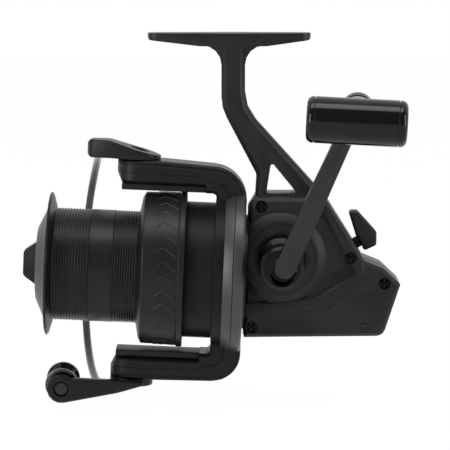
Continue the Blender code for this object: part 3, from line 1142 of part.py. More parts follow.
def bail():
    """Bail arm, wire and roller arm, turning together on the two pivot screws."""
    low = TOP_OUTER + GAP
    tip = BAIL_ARM_REACH + BAIL_BOSS_RADIUS
    heel = -PIVOT_RADIUS - BAIL_ARM_HEEL
    arm = prism("bail_arm", rounded([
        (heel, low), (heel, low + BAIL_ARM_HEEL),
        (BAIL_ARM_KNEE, low + BAIL_ARM_KNEE_RISE, 2 * PIVOT_RADIUS),
        (BAIL_ARM_REACH - BAIL_BOSS_RADIUS, low + BAIL_ARM_RISE, PIVOT_RADIUS),
        (tip, low + BAIL_ARM_RISE, BAIL_BOSS_RADIUS / 2), (tip, low - GAP, BAIL_BOSS_RADIUS / 2),
        (BAIL_ARM_REACH - BAIL_BOSS_RADIUS, low),
    ]), -2 * PIVOT_RADIUS, 2 * PIVOT_RADIUS, BAIL, "rotor")
    plan_axes = frame("bail_plan", BAIL, rotation=(-math.pi / 2, 0.0, 0.0))
    plan = tapered_slot(PIVOT_RADIUS, BAIL_BOSS_RADIUS, (BAIL_ARM_REACH, 0.0))
    combine(arm, prism("bail_plan_shape", plan, 0.0, 2 * TOP_OUTER, plan_axes), "INTERSECT")
    soften(arm, BAIL_ARM_BEVEL)
    path = wire_path()
    tube("bail_wire", path, WIRE_RADIUS, BAIL, "dark_steel")
    wire_room = tube("wire_room", path, WIRE_RADIUS + GAP, BAIL)
    cut(arm, wire_room)
    pivot_top = frame("bail_pivot_top", BAIL, rotation=(-math.pi / 2, 0.0, 0.0))
    pivot_bottom = frame("bail_pivot_bottom", BAIL, rotation=(math.pi / 2, 0.0, 0.0))
    cut(arm, pivot_bore("bail_arm_bore", TOP_OUTER, pivot_top))

    plate_in = ROLLER_ARM_THICKNESS - ROLLER_ARM_OUT
    holder = prism("roller_arm", roller_plate(), -ROLLER_ARM_OUT, plate_in, BAIL, "rotor")
    chamfer_rim(holder, -ROLLER_ARM_OUT, ROLLER_ARM_CHAMFER)
    head = -ROLLER_ARM_OUT + ROLLER_SCREW_SUNK
    under = head + ROLLER_ARM_THICKNESS / 2
    cut(holder, turned("roller_screw_room", [
        (0, 0), (ROLLER_AXLE_RADIUS + GAP, 0), (ROLLER_AXLE_RADIUS + GAP, under + GAP),
        (ROLLER_SCREW_POCKET, under + GAP), (ROLLER_SCREW_POCKET, -2 * ROLLER_ARM_OUT),
        (0, -2 * ROLLER_ARM_OUT),
    ], ROLLER, steps=SMALL_STEPS))
    low = BOTTOM_OUTER + GAP
    fuse(holder, rod("roller_pivot_disc", PIVOT_RADIUS, low, low + BAIL_ARM_PLATE, pivot_bottom,
                     steps=MEDIUM_STEPS))
    socket = frame("wire_socket_axis", BAIL, (WIRE_BOTTOM_REACH, WIRE_BOTTOM, 0.0))
    fuse(holder, rod("wire_socket", WIRE_SOCKET_RADIUS, plate_in - GAP, plate_in + WIRE_SOCKET_LENGTH,
                     socket))
    cut(holder, wire_room)
    cut(holder, pivot_bore("roller_arm_bore", BOTTOM_OUTER, pivot_bottom))
    near = plate_in + GAP + ROLLER_RADIUS * math.tan(ROLLER_LEAN)
    far = near + ROLLER_LENGTH
    axle_end = far + GAP
    turned("roller_screw", [
        (0, axle_end + ROLLER_CAP_HEIGHT / 2), (ROLLER_AXLE_RADIUS, axle_end + ROLLER_CAP_HEIGHT / 2),
        (ROLLER_AXLE_RADIUS, under), (ROLLER_SCREW_HEAD, under), (ROLLER_SCREW_HEAD, head), (0, head),
    ], ROLLER, "black_screw", SMALL_STEPS)
    turned("roller_cap", [
        (0, axle_end + ROLLER_CAP_HEIGHT), (ROLLER_CAP_RADIUS / 2, axle_end + ROLLER_CAP_HEIGHT),
        (ROLLER_CAP_RADIUS, axle_end + GAP), (ROLLER_AXLE_RADIUS + GAP, axle_end + GAP),
        (ROLLER_AXLE_RADIUS + GAP, axle_end + ROLLER_CAP_HEIGHT / 2 + GAP),
        (0, axle_end + ROLLER_CAP_HEIGHT / 2 + GAP),
    ], ROLLER, "black_screw", SMALL_STEPS)

    turned("line_roller", [
        (ROLLER_BEARING_RADIUS + GAP, far), (ROLLER_RADIUS, far), (ROLLER_RADIUS, far - ROLLER_FLANGE),
        (ROLLER_GROOVE_RADIUS, far - 2 * ROLLER_FLANGE), (ROLLER_GROOVE_RADIUS, near + 2 * ROLLER_FLANGE),
        (ROLLER_RADIUS, near + ROLLER_FLANGE), (ROLLER_RADIUS, near), (ROLLER_BEARING_RADIUS + GAP, near),
    ], ROLLER, "dark_steel")
    ring("roller_bearing", ROLLER_BEARING_RADIUS, ROLLER_AXLE_RADIUS + GAP, near, far, ROLLER, "steel")


def shaft():
    """The main shaft with the crosswind slider on its rear end."""
    rod("main_shaft", SHAFT_RADIUS, -SHAFT_REAR, SHAFT_FRONT, AXIS, "steel")
    slot = STROKE / 2 + CROSSWIND_PIN_RADIUS + GAP
    wall = CROSSWIND_PIN_RADIUS + GAP + SLIDER_WALL
    half = SLIDER_LENGTH / 2
    floor = -GUIDE_ROD_DROP - GUIDE_ROD_RADIUS - GAP - SLIDER_WALL
    block = prism("crosswind_slider", [
        (SLIDER_REST - half, floor), (SLIDER_REST + half, floor),
        (SLIDER_REST + half, SLIDER_TOP), (SLIDER_REST - half, SLIDER_TOP),
    ], -SLIDER_PLATE_BACK + SLIDER_PLATE / 2, SLIDER_HALF_WIDTH, CORE, "zinc")
    middle = CROSSWIND_CENTRE_Y
    fuse(block, prism("slider_plate", [
        (SLIDER_REST - wall, middle - slot - SLIDER_WALL), (SLIDER_REST + wall, middle - slot - SLIDER_WALL),
        (SLIDER_REST + wall, middle + slot + SLIDER_WALL), (SLIDER_REST - wall, middle + slot + SLIDER_WALL),
    ], -SLIDER_PLATE_BACK, -SLIDER_PLATE_BACK + SLIDER_PLATE, CORE))
    gate = CROSSWIND_PIN_RADIUS + GAP
    cut(block, prism("slider_slot", [
        (SLIDER_REST - gate, middle - slot), (SLIDER_REST + gate, middle - slot),
        (SLIDER_REST + gate, middle + slot), (SLIDER_REST - gate, middle + slot),
    ], -2 * SLIDER_PLATE_BACK, -SLIDER_PLATE_BACK + SLIDER_PLATE, CORE))
    cut(block, rod("slider_shaft_bore", SHAFT_BORE, -2 * SHAFT_REAR, 0.0, AXIS))
    guide = frame("slider_guide", PROFILE, (0.0, -GUIDE_ROD_DROP, 0.0),
                  turned_axes((0, 1, 0), (0, 0, 1), (1, 0, 0)))
    cut(block, rod("slider_guide_bore", GUIDE_ROD_RADIUS + GAP, -2 * SHAFT_REAR, 0.0, guide))
    screw_axis = frame("slider_screw_axis", CORE, (SLIDER_REST, 0.0, 0.0), (-math.pi / 2, 0.0, 0.0))
    low = SHAFT_RADIUS + GAP
    turned("slider_screw", [
        (0, SLIDER_TOP + SLIDER_SCREW_HEAD), (SLIDER_SCREW_HEAD, SLIDER_TOP + SLIDER_SCREW_HEAD),
        (SLIDER_SCREW_HEAD, SLIDER_TOP + GAP), (SLIDER_SCREW_RADIUS, SLIDER_TOP + GAP),
        (SLIDER_SCREW_RADIUS, low), (0, low),
    ], screw_axis, "black_screw", SMALL_STEPS)
    cut(block, rod("slider_screw_bore", SLIDER_SCREW_RADIUS + GAP, 0.0, 2 * SLIDER_TOP, screw_axis))


def spool():
    """The spool with its lip, drum, skirt and front dome, and the drag stack inside it."""
    wall_front = SPOOL_WALL_BACK + SPOOL_WALL
    band = DRUM_RADIUS + DRUM_BAND_RISE
    bearing_front = wall_front - GAP
    bearing_bore = SPOOL_BEARING_RADIUS + GAP
    flange_mid = (DRUM_REAR + DRUM_FLANGE) / 2
    turned("spool", [
        (DRAG_BORE, DOME_FRONT), (DOME_FACE_RADIUS, DOME_FRONT),
        (DOME_CROWN_RADIUS, DOME_SHOULDER + DOME_CROWN),
        (DOME_RADIUS, DOME_SHOULDER), (LIP_RADIUS - LIP_EDGE, LIP + LIP_EDGE / 2), (LIP_RADIUS, LIP),
        (LIP_RADIUS - LIP_EDGE, LIP - LIP_EDGE), (DRUM_RADIUS, DRUM_FRONT),
        (DRUM_RADIUS, DRUM_BAND_FRONT + DRUM_BAND_RISE), (band, DRUM_BAND_FRONT), (band, DRUM_BAND_REAR),
        (DRUM_RADIUS, DRUM_BAND_REAR - DRUM_BAND_RISE), (DRUM_RADIUS, DRUM_REAR),
        (DRUM_RADIUS + DRUM_WALL, flange_mid), (SKIRT_FRONT_RADIUS - DRUM_WALL, DRUM_FLANGE),
        (SKIRT_FRONT_RADIUS, SKIRT_FRONT), (SKIRT_REAR_RADIUS, SKIRT_REAR + SKIRT_BEAD_WIDTH + SKIRT_BEAD),
        (SKIRT_REAR_RADIUS + SKIRT_BEAD, SKIRT_REAR + SKIRT_BEAD_WIDTH),
        (SKIRT_REAR_RADIUS + SKIRT_BEAD, SKIRT_REAR), (SKIRT_BORE, SKIRT_REAR),
        (SKIRT_BORE, SKIRT_FRONT - GAP), (DRUM_RADIUS - DRUM_WALL, SKIRT_FRONT - GAP),
        (DRUM_RADIUS - DRUM_WALL, SPOOL_WALL_BACK), (SPOOL_HUB_RADIUS, SPOOL_WALL_BACK),
        (SPOOL_HUB_RADIUS, SPOOL_HUB_REAR), (SHAFT_BORE, SPOOL_HUB_REAR),
        (SHAFT_BORE, bearing_front - SPOOL_BEARING_WIDTH),
        (bearing_bore, bearing_front - SPOOL_BEARING_WIDTH), (bearing_bore, wall_front),
        (DRAG_BORE, wall_front),
    ], AXIS, "spool", SPOOL_STEPS)
    ring("spool_bearing", SPOOL_BEARING_RADIUS, SHAFT_BORE, bearing_front - SPOOL_BEARING_WIDTH + GAP,
         bearing_front, AXIS, "steel")
    for number in range(WASHER_COUNT):
        low = wall_front + GAP + number * (WASHER_THICKNESS + GAP)
        fibre = number % 2 == 0
        name = f"drag_washer_{number + 1}" if fibre else f"drag_plate_{number + 1}"
        ring(name, WASHER_RADIUS, WASHER_BORE, low, low + WASHER_THICKNESS, AXIS,
             "fibre" if fibre else "steel")
    low = wall_front + GAP + WASHER_COUNT * (WASHER_THICKNESS + GAP)
    ring("drag_retainer", DRAG_BORE - GAP, PIVOT_RADIUS, low, low + RETAINER_THICKNESS, AXIS, "steel")


def drag_knob():
    """The drag knob: a plunger, a face flush with the dome and a grip fin across it."""
    knob_piece = turned("drag_knob", [
        (0, DRAG_KNOB_FACE), (DRAG_KNOB_RADIUS - LIP_EDGE, DRAG_KNOB_FACE),
        (DRAG_KNOB_RADIUS, DRAG_KNOB_FACE - LIP_EDGE), (DRAG_KNOB_RADIUS, DRAG_KNOB_BACK + SPOOL_WALL),
        (PIVOT_RADIUS - LIP_EDGE, DRAG_KNOB_BACK + SPOOL_WALL), (PIVOT_RADIUS - LIP_EDGE, DRAG_KNOB_BACK),
        (0, DRAG_KNOB_BACK),
    ], AXIS, "cover")
    half = DRAG_FIN_LENGTH / 2
    top = DRAG_FIN_TOP_LENGTH / 2
    fuse(knob_piece, prism("drag_fin", rounded([
        (DRAG_KNOB_FACE - LIP_EDGE, -half), (DRAG_KNOB_FACE + LIP_EDGE, -half),
        (DRAG_FIN_FRONT, -top, DRAG_FIN_ROUND), (DRAG_FIN_FRONT, top, DRAG_FIN_ROUND),
        (DRAG_KNOB_FACE + LIP_EDGE, half), (DRAG_KNOB_FACE - LIP_EDGE, half),
    ]), -DRAG_FIN_HALF_WIDTH, DRAG_FIN_HALF_WIDTH, PROFILE))
    cut(knob_piece, rod("drag_knob_bore", SHAFT_BORE, 0.0, SHAFT_FRONT + GAP, AXIS))


CROSSWIND = frame("crosswind_axis", CORE, (CROSSWIND_CENTRE_X, CROSSWIND_CENTRE_Y, 0.0))
LEVER = frame("lever_pivot", SIDE, (LEVER_X, LEVER_Z, 0.0))
ARM = frame("handle_arm_axis", CRANK, (ARM_OFFSET, 0.0, ARM_DEPTH), (0.0, -ARM_FLARE, ARM_ANGLE))
KNOB = frame("knob_axis", ARM, (ARM_LENGTH, 0.0, 0.0), (0.0, 0.0, -ARM_ANGLE))
BAIL = frame("bail_axis", PROFILE, (BAIL_PIVOT, 0.0, 0.0))
ROLLER_RISE = ROLLER_ARM_OUT * math.tan(ROLLER_LEAN)
ROLLER = frame("roller_axis", BAIL, (ROLLER_REACH, ROLLER_RISE - ROLLER_DROP, 0.0), (-ROLLER_LEAN, 0.0, 0.0))

body()
lever()
drive_gear()
handle()
knob()
oscillation()
rotor()
bail()
shaft()
spool()
drag_knob()

for item in PARTS.objects:
    if item.type == "MESH":
        item.data.shade_smooth()
        item.data.set_sharp_from_angle(angle=SHARP_ANGLE)
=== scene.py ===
"""Studio picture of a long-cast spinning reel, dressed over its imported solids."""
import json
import logging
import math
from dataclasses import dataclass
from enum import Enum
from typing import ClassVar

import bmesh
import bpy
from mathutils import Euler, Matrix, Vector


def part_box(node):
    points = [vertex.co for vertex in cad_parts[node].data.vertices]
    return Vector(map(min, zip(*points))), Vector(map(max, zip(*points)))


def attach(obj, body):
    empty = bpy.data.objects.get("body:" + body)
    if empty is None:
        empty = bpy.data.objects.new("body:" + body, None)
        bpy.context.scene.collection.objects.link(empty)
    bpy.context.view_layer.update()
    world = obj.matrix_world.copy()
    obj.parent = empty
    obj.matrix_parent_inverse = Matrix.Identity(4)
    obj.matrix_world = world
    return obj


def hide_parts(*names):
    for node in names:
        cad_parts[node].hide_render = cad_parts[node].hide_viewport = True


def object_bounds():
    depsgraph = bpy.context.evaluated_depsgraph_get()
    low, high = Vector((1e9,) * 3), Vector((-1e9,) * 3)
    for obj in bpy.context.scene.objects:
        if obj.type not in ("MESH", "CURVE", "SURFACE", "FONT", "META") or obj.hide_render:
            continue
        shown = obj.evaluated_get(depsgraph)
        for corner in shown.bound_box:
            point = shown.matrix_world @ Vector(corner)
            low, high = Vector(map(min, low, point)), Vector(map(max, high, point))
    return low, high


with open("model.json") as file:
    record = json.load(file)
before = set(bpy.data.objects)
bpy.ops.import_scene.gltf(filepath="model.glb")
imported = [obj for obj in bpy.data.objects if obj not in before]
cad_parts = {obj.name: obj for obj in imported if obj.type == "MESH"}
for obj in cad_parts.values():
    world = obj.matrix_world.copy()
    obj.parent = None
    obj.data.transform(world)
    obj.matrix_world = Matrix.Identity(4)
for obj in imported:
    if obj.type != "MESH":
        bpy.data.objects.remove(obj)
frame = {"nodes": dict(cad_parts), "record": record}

LOG = logging.getLogger("reel")
CAD_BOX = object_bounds()
MM = 0.001
WELD = 0.002 * MM
IMAGE_PIXELS = 450
SENSOR_MM = 36.0
COAT_ROUGHNESS = 0.12
TURNED_STRETCH = 0.06
DRIFT_SPAN = 40.0
DRIFT_BAND = (0.3, 0.7)
ROUGHNESS_SPREAD = 0.15
POLISHED_BUMP = 0.2
FLAT_ANGLE = math.radians(0.4)
BEVEL_ANGLE = math.radians(28)

Profile = list[tuple[float, float]]
Path = list[tuple[float, float, float]]


class Grain(Enum):
    """How a finish's surface is broken up."""

    MOULDED = "moulded"
    PAINTED = "painted"
    TURNED = "turned"
    POLISHED = "polished"
    FIBRE = "fibre"


@dataclass(frozen=True)
class Finish:
    """One surface finish, as a procedural material.

    Args:
        name: the material's name.
        slot: the record's material slot that it stands for.
        colour: base colour, linear.
        roughness: mean roughness.
        metallic: 0 for plastic and paint, 1 for bare metal.
        specular: the shader's specular level.
        coat: strength of the clear coat.
        grain: how the surface is broken up.
        grain_size: size of the surface grain in metres.
        grain_depth: height of the surface grain in metres.
        mottle: how far the colour wanders, as a share of itself.
    """

    name: str
    slot: str
    colour: tuple[float, float, float]
    roughness: float
    metallic: float = 0.0
    specular: float = 0.5
    coat: float = 0.0
    grain: Grain = Grain.MOULDED
    grain_size: float = 0.5 * MM
    grain_depth: float = 0.01 * MM
    mottle: float = 0.25

    cache: ClassVar[dict[str, bpy.types.Material]] = {}

    def material(self) -> bpy.types.Material:
        """The finish's material, made once.

        Returns:
            The node-based material.
        """
        if self.name not in self.cache:
            self.cache[self.name] = self._build()
        return self.cache[self.name]

    def _build(self) -> bpy.types.Material:
        """Builds the node tree.

        Returns:
            The new material.
        """
        material = bpy.data.materials.new(self.name)
        material.use_nodes = True
        nodes = material.node_tree.nodes
        links = material.node_tree.links
        shader = nodes["Principled BSDF"]
        shader.inputs["Metallic"].default_value = self.metallic
        shader.inputs["Specular IOR Level"].default_value = self.specular
        shader.inputs["Coat Weight"].default_value = self.coat
        shader.inputs["Coat Roughness"].default_value = COAT_ROUGHNESS
        place = nodes.new("ShaderNodeTexCoord").outputs["Object"]
        if self.grain is Grain.TURNED:
            stretch = nodes.new("ShaderNodeMapping")
            stretch.inputs["Rotation"].default_value = (0.0, Layout().axis_tilt, 0.0)
            stretch.inputs["Scale"].default_value = (1.0, TURNED_STRETCH, TURNED_STRETCH)
            links.new(place, stretch.inputs["Vector"])
            place = stretch.outputs["Vector"]

        drift = nodes.new("ShaderNodeTexNoise")
        drift.inputs["Scale"].default_value = 1.0 / (DRIFT_SPAN * self.grain_size)
        drift.inputs["Detail"].default_value = 4.0
        links.new(place, drift.inputs["Vector"])
        ramp = nodes.new("ShaderNodeValToRGB")
        for stop, position, sign in zip(ramp.color_ramp.elements, DRIFT_BAND, (-1, 1)):
            stop.position = position
            stop.color = (*(c * (1 + sign * self.mottle) for c in self.colour), 1.0)
        links.new(drift.outputs["Fac"], ramp.inputs["Fac"])
        links.new(ramp.outputs["Color"], shader.inputs["Base Color"])

        grain = nodes.new("ShaderNodeTexNoise")
        grain.inputs["Scale"].default_value = 1.0 / self.grain_size
        grain.inputs["Detail"].default_value = 3.0 if self.grain is Grain.FIBRE else 2.0
        links.new(place, grain.inputs["Vector"])
        spread = nodes.new("ShaderNodeMapRange")
        spread.inputs["To Min"].default_value = self.roughness * (1 - ROUGHNESS_SPREAD)
        spread.inputs["To Max"].default_value = min(1.0, self.roughness * (1 + ROUGHNESS_SPREAD))
        links.new(grain.outputs["Fac"], spread.inputs["Value"])
        links.new(spread.outputs["Result"], shader.inputs["Roughness"])
        bump = nodes.new("ShaderNodeBump")
        bump.inputs["Strength"].default_value = POLISHED_BUMP if self.grain is Grain.POLISHED else 1.0
        bump.inputs["Distance"].default_value = self.grain_depth
        links.new(grain.outputs["Fac"], bump.inputs["Height"])
        links.new(bump.outputs["Normal"], shader.inputs["Normal"])
        return material


class Finishes:
    """The reel's finishes, with lightened and darkened copies of some that paint in light and shade."""

    CASTING = Finish("casting_paint", "casting", (0.0095, 0.0095, 0.0097), 0.40, specular=0.26,
                     grain=Grain.PAINTED, grain_size=0.35 * MM, grain_depth=0.008 * MM)
    COVER = Finish("cover_plastic", "cover_plastic", (0.0100, 0.0100, 0.0102), 0.46, specular=0.24,
                   grain_size=0.3 * MM, grain_depth=0.012 * MM)
    ROTOR = Finish("rotor_plastic", "rotor_plastic", (0.0065, 0.0065, 0.0067), 0.38, specular=0.20,
                   grain_size=0.3 * MM, grain_depth=0.008 * MM)
    # Painted shade: a darker copy of the rotor plastic for the cup, with less sheen, which tones down the
    # light on the cup.
    SHADED_CUP = Finish("cup_plastic_shaded", "rotor_plastic", (0.0060, 0.0060, 0.0062), 0.42, specular=0.14,
                 grain_size=0.3 * MM, grain_depth=0.008 * MM)
    # Painted light: a lightened, glossier copy of the rotor plastic whose pale colour stands in for light
    # falling on the rim's sloping facets.
    LIT_RIM = Finish("rotor_rim_painted_light", "rotor_plastic", (0.0240, 0.0240, 0.0245), 0.40, specular=0.60,
                 grain=Grain.PAINTED, grain_size=0.35 * MM, grain_depth=0.006 * MM)
    ARM = Finish("arm_paint", "painted_arm", (0.0120, 0.0120, 0.0122), 0.34, specular=0.34,
                 grain=Grain.PAINTED, grain_size=0.4 * MM, grain_depth=0.006 * MM)
    HUB = Finish("hub_gloss", "painted_arm", (0.0030, 0.0030, 0.0031), 0.26, specular=0.15,
                 grain=Grain.POLISHED, grain_size=0.6 * MM, grain_depth=0.01 * MM)
    KNOB = Finish("gloss_knob", "gloss_knob", (0.0012, 0.0012, 0.0013), 0.14, specular=0.28,
                  grain=Grain.POLISHED, grain_size=2.0 * MM, grain_depth=0.01 * MM)
    SPOOL = Finish("spool_anodised", "spool_aluminium", (0.0085, 0.0085, 0.0087), 0.36, specular=0.22,
                   grain=Grain.TURNED, grain_size=0.25 * MM, grain_depth=0.006 * MM)
    # Painted highlight: a lighter copy of the spool's anodising, so the skirt's ribs show as light lines.
    LIT_RIB = Finish("skirt_rib_highlight", "spool_aluminium", (0.0160, 0.0160, 0.0163), 0.34, specular=0.3,
                 grain=Grain.POLISHED, grain_size=0.3 * MM, grain_depth=0.005 * MM)
    WIRE = Finish("wire_black_chrome", "wire_steel", (0.070, 0.068, 0.066), 0.18, metallic=1.0,
                  grain=Grain.POLISHED, grain_size=0.6 * MM, grain_depth=0.01 * MM)
    SCREW = Finish("screw_black_oxide", "black_screw", (0.006, 0.006, 0.0062), 0.3, specular=0.4,
                   grain=Grain.POLISHED, grain_size=0.3 * MM, grain_depth=0.01 * MM)
    STEEL = Finish("bearing_steel", "bearing_steel", (0.55, 0.55, 0.56), 0.25, metallic=1.0,
                   grain=Grain.TURNED, grain_size=0.3 * MM, grain_depth=0.004 * MM, mottle=0.08)
    BRASS = Finish("machined_brass", "brass", (0.62, 0.45, 0.20), 0.3, metallic=1.0,
                   grain=Grain.TURNED, grain_size=0.3 * MM, grain_depth=0.004 * MM, mottle=0.08)
    ZINC = Finish("cast_zinc", "zinc", (0.42, 0.42, 0.43), 0.45, metallic=1.0,
                  grain=Grain.PAINTED, grain_size=0.4 * MM, grain_depth=0.01 * MM, mottle=0.1)
    FIBRE = Finish("drag_fibre", "fibre", (0.10, 0.09, 0.08), 0.9,
                   grain=Grain.FIBRE, grain_size=0.4 * MM, grain_depth=0.04 * MM)

    @classmethod
    def by_slot(cls) -> dict[str, Finish]:
        """Every finish by the record slot that it stands for."""
        looks = [value for value in vars(cls).values() if isinstance(value, Finish)]
        return {look.slot: look for look in reversed(looks)}


@dataclass(frozen=True)
class Layout:
    """The reel's axes, as the solids have them."""

    axis_drop: float = 116.65 * MM
    axis_tilt: float = math.radians(2.45)
    crank_back: float = 24.3 * MM
    crank_rise: float = 9.9 * MM
    arm_depth: float = 48.5 * MM
    arm_offset: float = 1.5 * MM
    arm_length: float = 83.7 * MM
    arm_angle: float = math.radians(69.2)
    arm_flare: float = math.radians(9.7)
    bail_pivot: float = 46.0 * MM
    roller_reach: float = 33.8 * MM
    roller_drop: float = 60.2 * MM
    roller_out: float = 13.0 * MM
    roller_lean: float = math.radians(8.0)

    @property
    def side(self) -> Matrix:
        """x rearward, y up, z towards the handle."""
        return Euler((math.pi / 2, 0.0, 0.0)).to_matrix().to_4x4()

    @property
    def core(self) -> Matrix:
        """The side axes on the rotor axis, tilted with it."""
        drop = Matrix.Translation((0.0, -self.axis_drop, 0.0))
        return self.side @ drop @ Matrix.Rotation(-self.axis_tilt, 4, "Z")

    @property
    def profile(self) -> Matrix:
        """x forward along the rotor axis, y out along the rotor arms, z away from the handle."""
        return self.core @ Matrix.Rotation(math.pi, 4, "Y")

    @property
    def axis(self) -> Matrix:
        """z forward along the rotor axis, x out along the rotor arms."""
        turn = Matrix(((0, 0, 1, 0), (1, 0, 0, 0), (0, 1, 0, 0), (0, 0, 0, 1)))
        return self.profile @ turn

    @property
    def crank(self) -> Matrix:
        """z out along the crank axis, towards the handle."""
        return self.core @ Matrix.Translation((self.crank_back, self.crank_rise, 0.0))

    @property
    def arm(self) -> Matrix:
        """x along the handle arm, z out along the knob post."""
        lean = Euler((0.0, -self.arm_flare, self.arm_angle)).to_matrix().to_4x4()
        return self.crank @ Matrix.Translation((self.arm_offset, 0.0, self.arm_depth)) @ lean

    @property
    def knob(self) -> Matrix:
        """z along the knob post, x along the grip."""
        out = Matrix.Translation((self.arm_length, 0.0, 0.0))
        return self.arm @ out @ Matrix.Rotation(-self.arm_angle, 4, "Z")

    @property
    def bail(self) -> Matrix:
        """The rotor's profile axes, moved to the bail's hinge."""
        return self.profile @ Matrix.Translation((self.bail_pivot, 0.0, 0.0))

    @property
    def roller(self) -> Matrix:
        """z along the line roller's screw."""
        rise = self.roller_out * math.tan(self.roller_lean)
        spot = Matrix.Translation((self.roller_reach, rise - self.roller_drop, 0.0))
        return self.bail @ spot @ Matrix.Rotation(-self.roller_lean, 4, "X")


LAYOUT = Layout()


class Workshop:
    """Ways of making a mesh and of turning it into a finished piece."""

    @staticmethod
    def link(name: str, mesh: bpy.types.Mesh) -> bpy.types.Object:
        """Puts a mesh in the scene as an object at the origin.

        Args:
            name: the object's name.
            mesh: its mesh, with its place in its points.

        Returns:
            The object.
        """
        piece = bpy.data.objects.new(name, mesh)
        bpy.context.scene.collection.objects.link(piece)
        return piece

    @staticmethod
    def placed(name: str, shape: bmesh.types.BMesh, place: Matrix) -> bpy.types.Object:
        """Turns a drawn shape into an object, with its faces outwards and its place in its points.

        Args:
            name: the object's name.
            shape: the drawn shape, which is freed.
            place: where its axes go.

        Returns:
            The object.
        """
        bmesh.ops.recalc_face_normals(shape, faces=shape.faces)
        mesh = bpy.data.meshes.new(name)
        shape.to_mesh(mesh)
        shape.free()
        mesh.transform(place)
        return Workshop.link(name, mesh)

    @staticmethod
    def applied(piece: bpy.types.Object) -> bpy.types.Object:
        """Turns a piece's modifiers into plain mesh.

        Args:
            piece: an object with modifiers.

        Returns:
            The same object, with no modifiers.
        """
        graph = bpy.context.evaluated_depsgraph_get()
        mesh = bpy.data.meshes.new_from_object(piece.evaluated_get(graph))
        piece.modifiers.clear()
        piece.data = mesh
        return piece

    @staticmethod
    def finish(piece: bpy.types.Object, look: Finish, body: str, nodes: tuple[str, ...] = (),
               smooth: float = 30.0) -> bpy.types.Object:
        """Shades a piece, gives it its finish and ties it to its body.

        Args:
            piece: the piece.
            look: its finish.
            body: the body that it rides on.
            nodes: the solids that it stands for.
            smooth: edges sharper than this many degrees stay sharp.

        Returns:
            The piece.
        """
        mesh = piece.data
        mesh.materials.clear()
        mesh.materials.append(look.material())
        mesh.shade_smooth()
        mesh.set_sharp_from_angle(angle=math.radians(smooth))
        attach(piece, body)
        if nodes:
            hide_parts(*nodes)
        LOG.info("%s: %d faces on %s", piece.name, len(mesh.polygons), body)
        return piece

    @staticmethod
    def revolve(name: str, profile: Profile, place: Matrix, steps: int = 96,
                closed: bool = False) -> bpy.types.Object:
        """Spins a profile of (radius, height) pairs about z.

        Args:
            name: the object's name.
            profile: the profile, down its outer side first.
            place: where its axis goes.
            steps: points round the axis.
            closed: whether the profile is a loop that stays off the axis.

        Returns:
            The turned piece.
        """
        shape = bmesh.new()
        rings = []
        for radius, height in profile:
            if radius < WELD:
                rings.append([shape.verts.new((0.0, 0.0, height))])
                continue
            rings.append([shape.verts.new((radius * math.cos(a), radius * math.sin(a), height))
                          for a in (2 * math.pi * step / steps for step in range(steps))])
        pairs = list(zip(rings, rings[1:]))
        if closed:
            pairs.append((rings[-1], rings[0]))
        for upper, lower in pairs:
            for step in range(steps):
                after = (step + 1) % steps
                corners = [upper[step % len(upper)], lower[step % len(lower)],
                           lower[after % len(lower)], upper[after % len(upper)]]
                unique = list(dict.fromkeys(corners))
                if len(unique) > 2:
                    shape.faces.new(unique)
        return Workshop.placed(name, shape, place)

    @staticmethod
    def sweep(name: str, path: Path, radius: float, place: Matrix, sides: int = 20) -> bpy.types.Object:
        """Draws a round section along a path.

        Args:
            name: the object's name.
            path: points of the path.
            radius: the section's radius.
            place: where the path's axes go.
            sides: points round the section.

        Returns:
            The swept piece, closed at both ends.
        """
        points = [Vector(p) for p in path]
        shape = bmesh.new()
        rings = []
        across = Vector((0.0, 0.0, 1.0))
        for index, point in enumerate(points):
            along = (points[min(index + 1, len(points) - 1)] - points[max(index - 1, 0)]).normalized()
            across = (across - along * across.dot(along)).normalized()
            other = along.cross(across)
            ring = []
            for side in range(sides):
                angle = 2 * math.pi * side / sides
                spoke = across * math.cos(angle) + other * math.sin(angle)
                ring.append(shape.verts.new(point + radius * spoke))
            rings.append(ring)
        for before, after in zip(rings, rings[1:]):
            for side in range(sides):
                following = (side + 1) % sides
                shape.faces.new((before[side], before[following], after[following], after[side]))
        shape.faces.new(reversed(rings[0]))
        shape.faces.new(rings[-1])
        return Workshop.placed(name, shape, place)

    @staticmethod
    def refined(name: str, node: str, edge: float, segments: int = 2) -> bpy.types.Object:
        """A copy of a solid with its flat faces joined and its edges rounded.

        Args:
            name: the new object's name.
            node: the solid to copy.
            edge: the rounding of its edges in metres.
            segments: steps of that rounding.

        Returns:
            The rounded copy.
        """
        shape = bmesh.new()
        shape.from_mesh(frame["nodes"][node].data)
        bmesh.ops.remove_doubles(shape, verts=shape.verts, dist=WELD)
        bmesh.ops.dissolve_limit(shape, angle_limit=FLAT_ANGLE, verts=shape.verts, edges=shape.edges)
        mesh = bpy.data.meshes.new(name)
        shape.to_mesh(mesh)
        shape.free()
        piece = Workshop.link(name, mesh)
        if edge > 0:
            bevel = piece.modifiers.new("Edges", "BEVEL")
            bevel.width = edge
            bevel.segments = segments
            bevel.limit_method = "ANGLE"
            bevel.angle_limit = BEVEL_ANGLE
            bevel.harden_normals = False
            Workshop.applied(piece)
        return piece

    @staticmethod
    def rounded(name: str, node: str, edge: float, look: Finish, body: str) -> bpy.types.Object:
        """A finished copy of a solid with rounded edges, which stands for it.

        Args:
            name: the new object's name.
            node: the solid to copy.
            edge: the rounding of its edges in metres.
            look: its finish.
            body: the body that it rides on.

        Returns:
            The finished piece.
        """
        return Workshop.finish(Workshop.refined(name, node, edge), look, body, (node,))


